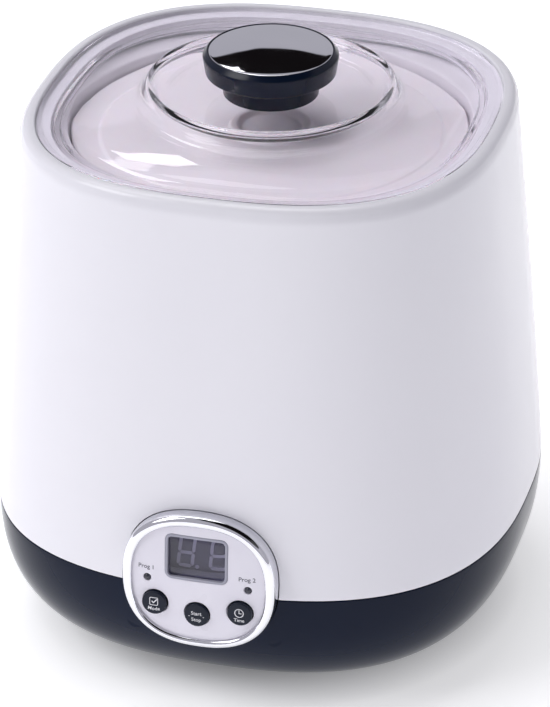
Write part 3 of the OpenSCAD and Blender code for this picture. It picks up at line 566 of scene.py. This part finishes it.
def makeBase():
    n, u, share, p = plan["squareness"], halfWidth, plan["bottomShare"], plan["bowlCurve"]
    top = seamZ - 0.2
    height = top - footTop
    inU = u - plan["wall"]
    inShare = (u * share - 1) / inU
    inHeight = height - base["inner"]
    rows = [(0, n, footTop, 0), (u * share * 0.5, n, footTop, 0)]
    for q in steps(90, 0, base["levels"]):
        a = math.radians(q)
        rows.append((u * share + u * (1 - share) * max(0, math.cos(a)) ** (2 / p), n, top - height * math.sin(a) ** (2 / p),
                     0.3 if q == 0 else 0))
    for q in steps(0, 90, base["innerLevels"]):
        a = math.radians(q)
        rows.append((inU * inShare + inU * (1 - inShare) * max(0, math.cos(a)) ** (2 / p), n, top - inHeight * math.sin(a) ** (2 / p),
                     0.2 if q == 0 else 0))
    rows.append((0, n, top - inHeight, 0))
    shell = squareTurned(softened(rows), navyAbs, base["around"])
    towers = [rod(base["towerR"], footTop + 9.1, seamZ - 5.3, 40, p) for p in fourCorners(postAt)]
    low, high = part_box("power_board_screws")
    boardAt = [(x, y) for x in (low.x / mm + 2.6, high.x / mm - 2.6) for y in (low.y / mm + 2.6, high.y / mm - 2.6)]
    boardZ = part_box("power_board")[0].z / mm
    towers += [rod(3.2, footTop + 2.5, boardZ, 32, p) for p in boardAt]
    towers += [rod(carrier["bossR"], carrier["front"], carrier["bossTop"], 32, p, place=panelPlace) for p in bossAt if p[1] < 0]
    screwWell = base["screwWell"]
    cuts = [turned([(0, footTop - 4), (screwWell, footTop - 4), (screwWell, footTop + 12), (1.8, footTop + 12), (1.8, seamZ), (0, seamZ)],
                   40, p) for p in fourCorners(postAt)]
    cuts += [rod(2.1, footTop - 2, footTop + 4, 24, p) for p in fourCorners(footAt)]
    glandZ = (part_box("cord_gland")[0].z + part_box("cord_gland")[1].z) / 2 / mm
    toRear = Matrix.Translation((0, 0, glandZ * mm)) @ Matrix.Rotation(-math.pi / 2, 4, "X")
    cuts.append(rod(6, u - 12, u + 2, 48, (0, 0), toRear))
    for i in range(base["slots"]):
        slot = roundedOutline(base["slotW"], base["slotL"], base["slotW"] / 2 - 0.01, centre=((i - (base["slots"] - 1) / 2) * 5, -32))
        cuts.append(skinned([raised(slot, footTop - 1), raised(slot, footTop + 5)]))
    return reshaped(shell, merged(towers), merged(cuts + [panelCutter()]), 0.6)


print("base")
addPiece("navy_base", makeBase(), navyAbs, "appliance", "navy_abs", "base_shell")

footShape = turned([(0, foot["dish"]), (3.2, foot["dish"]), (3.6, 0), (5.8, 0), (6.5, 0.15), (6.85, 0.5), (foot["radius"], 0.9),
                    (foot["radius"], 2.1),
                    (6.9, foot["height"]), (foot["peg"], foot["height"]), (foot["peg"], footTop + 4), (1.4, footTop + 5), (0,
                                                                        footTop + 5)], 48)
addPiece("foot_set", setOutAt(footShape, fourCorners(footAt), footRubber), footRubber, "appliance", "rubber", "rubber_feet")

# Pan-head screws with a cross recess, up the wells of the base
baseScrew = dict(headR=3.3, headH=2.39, shaftR=1.45, recess=2.0, recessW=0.7)


def makeBaseScrew():
    z = footTop + 9.6
    head, h = baseScrew["headR"], baseScrew["headH"]
    rows = [(0, z), (head * 0.45, z + 0.05), (head * 0.8, z + 0.3), (head * 0.96, z + 0.8), (head, z + 1.3), (head, z + h)]
    thread = []
    for k in range(24):   # ridges 1 mm apart stand for the thread
        thread += [(baseScrew["shaftR"] - 0.25, z + h + 2 + k), (baseScrew["shaftR"], z + h + 2.5 + k)]
    rows += [(baseScrew["shaftR"] - 0.2, z + h), (baseScrew["shaftR"] - 0.2, z + h + 1.5)] + [t for t in thread if t[1] < seamZ + 9]
    rows += [(baseScrew["shaftR"] - 0.3, seamZ + 9.5), (0, seamZ + 11)]
    body = turned(rows, 28)
    a, b = baseScrew["recessW"] / 2, baseScrew["recess"]
    cross = [(a, a), (a, b), (-a, b), (-a, a), (-b, a), (-b, -a), (-a, -a), (-a, -b), (a, -b), (a, -a), (b, -a), (b, a)]
    cutter = skinned([raised(cross, z - 1), [(x * 0.4, y * 0.4, z + 1.6) for x, y in cross]])
    return reshaped(body, cut=cutter)


addPiece("base_screw_set", setOutAt(makeBaseScrew(), fourCorners(postAt), zincSteel), zincSteel, "appliance", "steel", "base_screws")

# Bush for the cord: inner flange, waist through the wall, outer flange and a short nose
bush = dict(bore=3.5, outer=5.8, flange=7.0, innerFlange=7.2, flangeThick=2.4)


def makeBush():
    low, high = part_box("cord_gland")
    u, end = halfWidth, high.y / mm
    toRear = Matrix.Translation((0, 0, (low.z + high.z) / 2)) @ Matrix.Rotation(-math.pi / 2, 4, "X")
    start = low.y / mm
    inner, outer, flange, thick = bush["innerFlange"], bush["outer"], bush["flange"], bush["flangeThick"]
    rows = [(bush["bore"], start, 0.1), (inner, start, 0.2), (inner, start + thick, 0.2), (outer, start + thick, 0.2),
            (outer, u - 0.1, 0.1), (flange, u - 0.1, 0.4),
            (flange, u + thick, 0.6), (outer, u + thick, 0.3), (outer, end, 0.5), (bush["bore"], end, 0.4)]
    return turned(softened(rows), 64, ring=True, place=toRear)


addPiece("cord_bush", makeBush(), footRubber, "appliance", "rubber", "cord_gland")

# Clear lid: edge band, soft shoulder, sloping plateau, raised ring with a sunk floor under the knob
lid = dict(ring=39.3, ringH=7.9, floorH=3.2, thick=2.0, around=256)


def makeLid():
    a, n, r, h, f, t = lidHalf, plan["squareness"], lid["ring"], lid["ringH"], lid["floorH"], lid["thick"]
    z = rimZ
    under = [(0, n - 0.6, z + f - t, 0), (r - 5.2, n - 0.6, z + f - t, 2.5), (r - 2.4, n - 0.6, z + f - 0.4, 1.2),
             (r - 0.4, n - 0.6, z + h - t - 0.3, 0.5), (r + 0.3, n - 0.6, z + h - t - 0.5, 0.4),
             (r + 1.6, n - 0.6, z + 2.2, 1.2), (r + 4.4, n - 0.6, z + 2.3 - t, 2), (a - 21, n - 0.3, z + 1.7 - t, 5), (a - 11.3, n - 0.1,
                                                                        z - t, 3), (a - 7.3, n - 0.05, z - 0.9 - t, 0.4),
             (a - 7.2, n, z - 5.4, 0.4), (a - 5.6, n, z - 5.4, 0.4), (a - 5.3, n, z - 2.1, 0.3), (a, n, z - 2.1, 0.3)]
    top = [(a, n, z - 1, 0.3), (a - 0.3, n, z - 0.4, 0.3), (a - 1.2, n, z - 0.2, 0.4), (a - 1.9, n, z - 0.8, 0.3),
           (a - 5.5, n, z - 0.9, 1.5), (a - 9.5, n - 0.05, z - 0.5, 2),
           (a - 11.3, n - 0.1, z + 0.1, 1), (a - 14, n - 0.15, z + 0.7, 1.4), (a - 21, n - 0.3, z + 1.7, 4), (r + 5.2, n - 0.6, z + 2.3,
                                                                        2), (r + 3.4, n - 0.6, z + 2.8, 1), (r + 2.1, n - 0.6, z + 4.2,
                                                                        0.9),
           (r + 1, n - 0.6, z + h - 1, 0.8), (r, n - 0.6, z + h, 0.6), (r - 1, n - 0.6, z + h - 0.7, 0.8), (r - 2.4, n - 0.6, z + f + 1.9,
                                                                        1.4), (r - 4.2, n - 0.6, z + f + 0.4, 1), (r - 6, n - 0.6, z + f,
                                                                        1.5), (0, n - 0.6, z + f, 0)]
    return squareTurned(softened(under + top, 5), clearPc, lid["around"])


print("lid and knob")
addPiece("clear_lid", makeLid(), clearPc, "lid", "clear_pc", "outer_lid")

# Knob: stem, flared head with a bevelled rim, and a chrome disc let into it
knob = dict(radius=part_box("knob_body")[1].x / mm, top=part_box("knob_body")[1].z / mm, head=7.8, seat=6.7, stem=15.5, dome=140.0, around=128)


def makeKnob():
    zb, r, s = knob["top"] - knob["head"], knob["radius"], knob["stem"]
    z0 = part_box("knob_body")[0].z / mm
    rows = [(0, z0 + 3, 0), (2, z0 + 3, 0.2), (2, z0, 0.2), (s, z0, 0.4), (s, zb - 2.4, 0.4), (s + 0.5, zb - 2.2, 0.2), (s + 0.5, zb, 0.3),
            (r - 1.2, zb, 0.4), (r - 0.8, zb + 0.3, 0.4),
            (r, zb + 5.6, 0.5), (r, zb + 6.1, 0.2), (r - 0.4, zb + 6.6, 0.3), (r - 1.4, zb + 7.8, 0.25), (r - 1.7, zb + 7.8,
                                                                        0.12), (r - 1.7, zb + knob["seat"], 0.05), (0, zb + knob["seat"],
                                                                        0)]
    return turned(softened(rows), knob["around"], sharpAngle=0.9)


def makeKnobCap():
    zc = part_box("knob_cap")[0].z / mm
    r, dome = knob["radius"] - 1.8, knob["dome"]
    domeZ = lambda x: zc + 2.4 - dome + math.sqrt(dome ** 2 - x ** 2)
    rows = [(0, zc, 0), (r, zc, 0.1), (r, domeZ(r) - 0.05, 0.25)] + [(x, domeZ(x), 0) for x in steps(r - 0.6, 0, 22)]
    return turned(softened(rows), knob["around"], sharpAngle=0.9)


addPiece("knob_head", makeKnob(), navyTouch, "lid", "navy_abs", "knob_body")
addPiece("chrome_disc", makeKnobCap(), chromePlate, "lid", "chrome", "knob_cap")

# Jar, its lid and the heating well that holds it
jar = dict(wall=1.8, corner=7.0, around=128)
well = dict(wall=1.2, corner=9.2, flange=1.4, film=1.1, filmGap=0.1)


def cupRows(r, wall, z0, corner, lipRows):
    arc = lambda radius, a0, a1: [(r - corner + radius * math.cos(math.radians(a)), z0 + corner + radius * math.sin(math.radians(a)),
                                   0) for a in steps(a0, a1, 9)]
    return [(0, z0, 0)] + arc(corner, -90, 0) + lipRows + arc(corner - wall, 0, -90) + [(0, z0 + wall, 0)]


def makeJar():
    low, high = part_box("jar")
    z0, z1, r = low.z / mm, high.z / mm, high.x / mm - 1.2
    w = jar["wall"]
    lip = [(r, z1 - 4.4, 0.2), (r + 1.2, z1 - 4, 0.3), (r + 1.2, z1 - 2.4, 0.3), (r, z1 - 2, 0.2), (r, z1, 0.6), (r - w, z1, 0.6)]
    return turned(softened(cupRows(r, w, z0, jar["corner"], lip)), jar["around"], sharpAngle=0.9)


def makeJarLid():
    low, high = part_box("jar_lid")
    out, top = high.x / mm, low.z / mm + 8
    s0, r = out - 1.3, out - 1.3 - 0.3 - 1.2
    w = jar["wall"]
    rows = [(0, top + 0.9, 0), (r - w - 4, top + 0.9, 0.4), (r - w - 3, top + 0.3, 0.3), (s0, top + 0.3, 0.3), (s0, top - 8, 0.3),
            (out, top - 8, 0.4), (out, top + 1, 0.6), (out - 0.8, top + 1.8, 0.5),
            (r - 6, top + 1.8, 0.5), (r - 7, top + 2.4, 0.5), (14, top + 2.4, 0.6), (13, top + 4.4, 0.6), (11, top + 4.4, 0.6), (10,
                                                                        top + 2.4, 0.6), (0, top + 2.4, 0)]
    return turned(softened(rows), jar["around"], sharpAngle=0.9)


def makeWell():
    low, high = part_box("heating_well")
    z0, z1, flange = low.z / mm, high.z / mm, high.x / mm
    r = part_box("heating_film")[1].y / mm - well["film"] - well["filmGap"]
    n = plan["squareness"]
    lip = [(r, z1 - well["flange"], 0.5), (flange, z1 - well["flange"], 0.2), (flange, z1, 0.3), (r - well["wall"], z1, 0.9)]
    rows = cupRows(r, well["wall"], z0, well["corner"], lip)
    return squareTurned([(x, n if x > r + 2 else 2, z) for x, z in softened(rows)], coatedAluminium, 160)


print("jar and well")
addPiece("milk_jar", makeJar(), jarPp, "jar", "jar_pp", "jar")
addPiece("jar_cover", makeJarLid(), jarLidPp, "jar_lid", "lid_pp", "jar_lid")
addPiece("aluminium_well", makeWell(), coatedAluminium, "appliance", "well_alu", "heating_well")

# Panel: chrome bezel
bezelLines = [(0, bezel["back"], 0), (0, -1.7, 0.5), (0.25, -0.9, 0.3), (0.8, -0.2, 0.4), (1.6, 0.15, 0.4), (2.3, 0.15, 0.35),
              (2.9, -0.1, 0.3), (3.3, -0.5, 0.2), (3.35, -0.9, 0.1), (2.3, -0.9, 0), (2.3, bezel["back"], 0)]


def makeBezel():
    rows = softened([(d, 0, z, reach) for d, z, reach in bezelLines], 5)
    rows = [(bezel["halfW"] - d, bezel["halfH"] - d, -0.13 * d, bezel["squareness"] + 0.045 * d, z) for d, _, z in rows]
    return squareTurned(rows, chromePlate, bezel["around"], panelPlace, 0.9)


def makeFascia():
    f = fascia
    rows = [(0, 0.3, 0)] + [(x, 0.3, 0) for x in steps(1.5, f["halfW"] - 0.8, 20)] + [(f["halfW"], 0.3, 0.25), (f["halfW"], f["back"], 0),
                                                                        (0, f["back"], 0)]
    rows = [(x, x * f["halfH"] / f["halfW"], f["shift"] * x / f["halfW"], f["squareness"], z) for x, z in softened(rows)]
    mesh = squareTurned(rows, fasciaAbs, 224)
    for vertex in mesh.vertices:   # crowns the front face
        if vertex.co.z > -1 * mm:
            vertex.co.z += (fasciaHeight(vertex.co.x / mm, vertex.co.y / mm) - f["apex"]) * mm
    cuts = []
    for (x, y), radius in [(p, f["keyHole"]) for p in keyAt.values()] + [(p, f["lampHole"]) for p in lampAt]:
        z = fasciaHeight(x, y)
        cuts.append(turned([(0, -8), (radius, -8), (radius, z - 0.14), (radius + 0.05, z - 0.04), (radius + 0.3, z + 0.15),
                            (radius + 0.3, z + 2), (0, z + 2)], 72, (x, y)))
    opening = roundedOutline(window["width"] + 2 * window["wall"] + 0.2, window["height"] + 2 * window["wall"] + 0.2, 2.4, centre=windowAt)
    cuts.append(skinned([raised(opening, -8), raised(opening, 4)]))
    mesh = reshaped(mesh, cut=merged(cuts))
    mesh.transform(panelPlace)
    return mesh


def crowned(outline, drop):
    # a loop that follows the fascia's crown, drop below it
    return [(x, y, fasciaHeight(x, y) - drop) for x, y in outline]


def makeWindowFrame():
    w, wall, proud = window["width"] + 2 * window["wall"], window["wall"], window["proud"]
    outline = lambda inset: roundedOutline(w - 2 * inset, window["height"] + 2 * wall - 2 * inset, 2.3 - inset * 1.05, centre=windowAt)
    back = window["recess"] + 0.3
    loops = [raised(outline(0), back), crowned(outline(0), 0.25 - proud), crowned(outline(0.05), 0.1 - proud),
             crowned(outline(0.16), 0.02 - proud), crowned(outline(0.3), -proud),
             crowned(outline(wall - 0.3), -proud), crowned(outline(wall - 0.14), 0.03 - proud), crowned(outline(wall - 0.04),
                                                                        0.12 - proud), crowned(outline(wall),
                                                                        0.3 - proud), raised(outline(wall), back)]
    return skinned(loops, True, panelPlace, 0.9)


def makeWindowLens():
    outline = lambda inset: roundedOutline(window["width"] - 0.1 - 2 * inset, window["height"] - 0.1 - 2 * inset, 1.25 - inset,
                                           centre=windowAt)
    front = window["lensDepth"]
    loops = [raised(outline(0), -2.2), crowned(outline(0), front + 0.12), crowned(outline(0.12), front)]
    inner = [(windowAt[0] + (x - windowAt[0]) * share, windowAt[1] + (y - windowAt[1]) * share) for share in (0.75, 0.5, 0.25, 0.02) for x,
             y in outline(0.12)]
    count = len(outline(0))
    loops += [crowned(inner[i * count:(i + 1) * count], front) for i in range(4)]
    return skinned(loops, False, panelPlace, 0.9)


key = dict(radius=4.05, top=1.06, dome=30.0, flange=5.15, back=-4.7, stem=1.5)


def keyHeight(r):
    return key["top"] - key["dome"] + math.sqrt(key["dome"] ** 2 - r ** 2)


def makeKey(name):
    x, y = keyAt[name]
    r = key["radius"]
    stemEnd = carrier["board"] + 3.6 + 1.2 + 0.01
    rows = [(0, stemEnd, 0), (key["stem"], stemEnd, 0.1), (key["stem"], key["back"], 0.2), (key["flange"], key["back"], 0.1),
            (key["flange"], -3.5, 0.2), (r, -3.5, 0.1), (r, keyHeight(r), 0.45)]
    rows += [(a, keyHeight(a), 0) for a in steps(r - 0.5, 0, 12)]
    return turned(softened(rows, 5), 80, (x, y), place=panelPlace, sharpAngle=0.9)


def makeLamps():
    lamps = []
    for x, y in lampAt:
        dome = [(1.2 * math.cos(math.radians(a)), -1.3 + 1.2 * math.sin(math.radians(a)), 0) for a in steps(0, 90, 10)]
        rows = [(0, -7.2, 0), (1.9, -7.2, 0.1), (1.9, -6, 0.1), (1.2, -6, 0.1)] + dome
        lamps.append(turned(softened(rows), 40, (x, y), place=panelPlace))
        for side in (-1, 1):   # the two leads
            lead = roundedOutline(0.5, 0.5, 0.05, 2, (x + side * 1.27, y))
            lamps.append(skinned([raised(lead, carrier["board"] + 0.01), raised(lead, -7.1)], place=panelPlace))
    return merged(lamps)


print("panel")
addPiece("chrome_bezel", makeBezel(), chromePlate, "appliance", "chrome", "panel_bezel")
addPiece("panel_fascia", makeFascia(), fasciaAbs, "appliance", "fascia", "fascia_plate")
addPiece("window_frame", makeWindowFrame(), greyAbs, "appliance", "grey_plastic", "display_frame")
addPiece("window_lens", makeWindowLens(), smokedAcrylic, "appliance", "smoke", "display_lens")
addPiece("panel_lamps", makeLamps(), lampEpoxy, "appliance", "led", "indicator_leds")
for name in keyAt:
    addPiece(name + "_key_cap", makeKey(name), navyTouch, name + "_key", "navy_abs", name + "_button")

# Printing: thin ink, a hair proud of the surface it lies on
ink = dict(lift=0.032, thick=0.01, bold=0.02)


def word(text, size, at=(0, 0), bend=0):
    # generic lettering; bend is the radius of a baseline that curves upwards at both ends
    curve = bpy.data.curves.new("word", "FONT")
    curve.body, curve.size, curve.align_x, curve.align_y = text, size, "CENTER", "CENTER"
    curve.resolution_u = 3
    curve.extrude, curve.offset = ink["thick"] / 2, ink["bold"]
    piece = bpy.data.objects.new("word", curve)
    scene.collection.objects.link(piece)
    mesh = bpy.data.meshes.new_from_object(piece.evaluated_get(bpy.context.evaluated_depsgraph_get()))
    bpy.data.objects.remove(piece)
    for vertex in mesh.vertices:
        x, y = vertex.co.x, vertex.co.y
        if bend:
            x, y = (bend - y) * math.sin(x / bend), bend - (bend - y) * math.cos(x / bend)
        vertex.co = ((x + at[0]) * mm, (y + at[1]) * mm, vertex.co.z * mm)
    return mesh


def flatShape(outline, hole=None):
    low, high = -ink["thick"] / 2, ink["thick"] / 2
    if hole:
        return skinned([raised(outline, low), raised(outline, high), raised(hole, high), raised(hole, low)], True)
    return skinned([raised(outline, low), raised(outline, high)])


def laidOn(meshes, centre, height):
    # lays flat ink on a crowned surface at a point of the panel
    mesh = merged(meshes)
    for vertex in mesh.vertices:
        x, y = vertex.co.x / mm, vertex.co.y / mm
        vertex.co = ((x + centre[0]) * mm, (y + centre[1]) * mm, vertex.co.z + (height(x, y) + ink["lift"]) * mm)
    mesh.transform(panelPlace)
    return tidyMesh(mesh, 0.5)


def circle(radius, centre=(0, 0), around=48):
    return [(centre[0] + radius * math.cos(2 * math.pi * k / around),
             centre[1] + radius * math.sin(2 * math.pi * k / around)) for k in range(around)]


onKey = lambda x, y: keyHeight(math.hypot(x, y))
tick = [(-0.8, 0.75), (-0.5, 1.0), (-0.1, 0.55), (0.95, 1.75), (1.25, 1.5), (-0.1, 0.02)]
modePrint = [flatShape(roundedOutline(2.9, 2.9, 0.5, 5, (0, 0.75)), roundedOutline(2.4, 2.4, 0.3, 5, (0, 0.75))), flatShape(tick),
             word("Mode", 1.75, (0, -1.95), 9)]
startPrint = [word("Start", 1.8, (0, 0.75)), flatShape([(-2.6, -0.42), (2.6, -0.42), (2.6, -0.24), (-2.6, -0.24)]),
              word("Stop", 1.8, (0, -1.5))]
hands = [(-0.13, 1.75), (0.13, 1.75), (0.13, 0.68), (0.85, 0.68), (0.85, 0.42), (-0.13, 0.42)]
timePrint = [flatShape(circle(1.55, (0, 0.6)), circle(1.27, (0, 0.6))), flatShape(hands), word("Time", 1.7, (0, -2.05))]
for name, shapes in (("mode", modePrint), ("start", startPrint), ("time", timePrint)):
    addPiece(name + "_print", laidOn(shapes, keyAt[name], onKey), whiteInk, name + "_key", "label")
for name, at in (("Prog 1", (lampAt[0][0] - 0.2, lampAt[0][1] + 3.8)), ("Prog 2", (lampAt[1][0] - 0.3, lampAt[1][1] + 3.8))):
    onFascia = lambda x, y, at=at: fasciaHeight(x + at[0], y + at[1])
    addPiece("label_" + name[-1], laidOn([word(name, 2.1)], at, onFascia), greyInk, "appliance", "label")

# Materials of the pieces that keep their own mesh
print("inner pieces")
kept = {
    "well_gasket": siliconeGasket, "well_screws": zincSteel, "heating_film": heaterFilm, "thermal_fuse": creamCeramic, "fuse_clip": springSteel,
    "temperature_sensor": blackNylon, "sensor_bracket": springSteel, "bracket_screws": zincSteel, "heater_leads": leadSkin, "knob_washer": zincSteel,
    "knob_screw": zincSteel, "panel_carrier": blackNylon, "carrier_screws": zincSteel, "display_module": displayEpoxy, "digit_segments": segmentEpoxy,
    "control_board": boardGreen, "board_screws": zincSteel, "microcontroller": blackNylon, "switch_bodies": blackNylon, "buzzer": blackNylon,
    "signal_ribbon": ribbonPvc, "mode_plunger": ivoryAcetal, "start_plunger": ivoryAcetal, "time_plunger": ivoryAcetal, "power_board": boardTan,
    "power_board_screws": zincSteel, "transformer": lacquerSteel, "relay": relayBlue, "capacitors": shrinkSleeve, "terminal_block": terminalGreen, "rating_plate": plateFoil}
for node, finish in kept.items():
    for materialSlot in frame["nodes"][node].material_slots:
        materialSlot.material = finish

print("studio")
# the floor's glow is painted light, strongest far from the object and fading to none close round it
floor = dict(tone="#F6F6F8", glow=0.55, glowFrom=0.05, glowFull=0.085, half=6)
softboxes = dict(   # place, aim, size, power
    key=((-1.6, -1.1, 1.9), (0, 0, 0.1), (1.2, 1.2), 18),
    fill=((1.6, -1.0, 0.9), (0, 0, 0.1), (0.8, 1.2), 0.2),
    top=((-0.5, 0.35, 2.4), (0, 0, 0), (1.6, 1.6), 19),
    window=((-0.67, 1.40, 1.42), (-0.03, -0.05, 0.18), (0.22, 0.16), 0.5))
sky = dict(tone="#EAE8F3", dark="#1C191B", strength=0.54, turn=-15, frontDark=(0.30, -0.40, 0.87), frontEdge=(0.79, 0.81),
           openingSide=(0.24, 0.3), openingLow=(0.45, 0.46), openingHigh=(0.655, 0.67), ridges=7.0, ridgeHeight=0.14)


def makeFloor():
    mesh = bpy.data.meshes.new("floor")
    half = floor["half"]
    mesh.from_pydata([(-half, -half, 0), (half, -half, 0), (half, half, 0), (-half, half, 0)], [], [(0, 1, 2, 3)])
    material, tree = newMaterial("pale studio paper with painted glow")
    place = addNode(tree, "ShaderNodeTexCoord")
    distance = addNode(tree, "ShaderNodeVectorMath", {"operation": "LENGTH"}, {0: place.outputs["Object"]})
    # painted light: the floor glows with no glow within 5 cm of the middle and full glow beyond 8.5 cm, so it is
    # painted brighter away from the object and left to the lamps close round it
    glow = addNode(tree, "ShaderNodeMapRange", None, {
        "Value": distance.outputs["Value"], "From Min": floor["glowFrom"], "From Max": floor["glowFull"], "To Min": 0.0, "To Max": floor["glow"]})
    surface = addNode(tree, "ShaderNodeBsdfPrincipled", None, {
        "Base Color": linear(floor["tone"]), "Roughness": 0.85, "Specular IOR Level": 0.1, "Emission Color": linear("#FFFFFF"), "Emission Strength": glow})
    addNode(tree, "ShaderNodeOutputMaterial", None, {"Surface": surface})
    mesh.materials.append(material)
    ground = bpy.data.objects.new("floor", mesh)
    scene.collection.objects.link(ground)


def softbox(name, place, aim, size, power):
    light = bpy.data.lights.new(name, "AREA")
    light.shape, light.size, light.size_y = "RECTANGLE", size[0], size[1]
    light.energy = power
    lamp = bpy.data.objects.new(name, light)
    lamp.location = place
    lamp.rotation_euler = (Vector(aim) - Vector(place)).to_track_quat("-Z", "Y").to_euler()
    scene.collection.objects.link(lamp)


def makeSky():
    # a pale room with two dark openings: a low window-like one behind the object, and a broad one up in front
    world = bpy.data.worlds.new("studio")
    world.use_nodes = True
    tree = world.node_tree
    tree.nodes.clear()
    place = addNode(tree, "ShaderNodeTexCoord")
    around = addNode(tree, "ShaderNodeMapping", None, {"Vector": place.outputs["Generated"], "Rotation": (0, 0, math.radians(sky["turn"]))})
    parts = addNode(tree, "ShaderNodeSeparateXYZ", None, {0: around})
    aside = addNode(tree, "ShaderNodeMath", {"operation": "ABSOLUTE"}, {0: parts.outputs["X"]})
    hills = addNode(tree, "ShaderNodeTexNoise", None, {"Vector": around, "Scale": sky["ridges"], "Detail": 1.0})
    lowered = addNode(tree, "ShaderNodeMath", {"operation": "SUBTRACT"}, {0: parts.outputs["Z"], 1: sky["ridgeHeight"] / 2})
    ridge = addNode(tree, "ShaderNodeMath", {"operation": "MULTIPLY_ADD"}, {0: hills.outputs["Fac"], 1: sky["ridgeHeight"], 2: lowered})
    towards = addNode(tree, "ShaderNodeVectorMath", {"operation": "DOT_PRODUCT"}, {0: around, 1: sky["frontDark"]})
    bounds = dict(   # each runs from 0 to 1 across its edge, or back from 1 to 0
        narrow=(aside, sky["openingSide"], 1.0), behind=(parts.outputs["Y"], (0.0, 0.1), 0.0), above=(ridge, sky["openingLow"], 0.0),
        below=(parts.outputs["Z"], sky["openingHigh"], 1.0), front=(towards.outputs["Value"], sky["frontEdge"], 0.0))
    edge = {name: addNode(tree, "ShaderNodeMapRange", None, {"Value": value, "From Min": low, "From Max": high, "To Min": start,
                                                             "To Max": 1.0 - start})
            for name, (value, (low, high), start) in bounds.items()}
    sides = addNode(tree, "ShaderNodeMath", {"operation": "MULTIPLY"}, {0: edge["narrow"], 1: edge["behind"]})
    levels = addNode(tree, "ShaderNodeMath", {"operation": "MULTIPLY"}, {0: edge["above"], 1: edge["below"]})
    back = addNode(tree, "ShaderNodeMath", {"operation": "MULTIPLY"}, {0: sides, 1: levels})
    dark = addNode(tree, "ShaderNodeMath", {"operation": "MAXIMUM"}, {0: back, 1: edge["front"]})
    tone = addNode(tree, "ShaderNodeMix", {"data_type": "RGBA"}, {0: dark, 6: linear(sky["tone"]), 7: linear(sky["dark"])})
    light = addNode(tree, "ShaderNodeBackground", None, {"Color": tone.outputs[2], "Strength": sky["strength"]})
    addNode(tree, "ShaderNodeOutputWorld", None, {"Surface": light})
    scene.world = world


makeFloor()
makeSky()
for name, values in softboxes.items():
    softbox(name, *values)
scene.view_settings.view_transform = "Standard"

camera = dict(azimuth=15.306, elevation=28.426, away=16.0, lens=215.84, roll=-0.294, shiftX=0.00378, shiftY=-0.0134)


def makeCamera():
    lens = bpy.data.cameras.new("camera")
    lens.lens, lens.sensor_width, lens.shift_x, lens.shift_y = camera["lens"], 36, camera["shiftX"], camera["shiftY"]
    lens.clip_start, lens.clip_end = 0.05, 30
    viewer = bpy.data.objects.new("camera", lens)
    azimuth, elevation = math.radians(camera["azimuth"]), math.radians(camera["elevation"])
    target = Vector((0, 0, (seamZ + halfWidth / 2) * mm))
    back = Vector((math.sin(azimuth) * math.cos(elevation), -math.cos(azimuth) * math.cos(elevation), math.sin(elevation)))
    place = target + back * camera["away"] * halfWidth * mm
    turn = (-back).to_track_quat("-Z", "Y").to_matrix().to_4x4() @ Matrix.Rotation(math.radians(camera["roll"]), 4, "Z")
    viewer.matrix_world = Matrix.Translation(place) @ turn
    scene.collection.objects.link(viewer)
    scene.camera = viewer


makeCamera()

print("done")
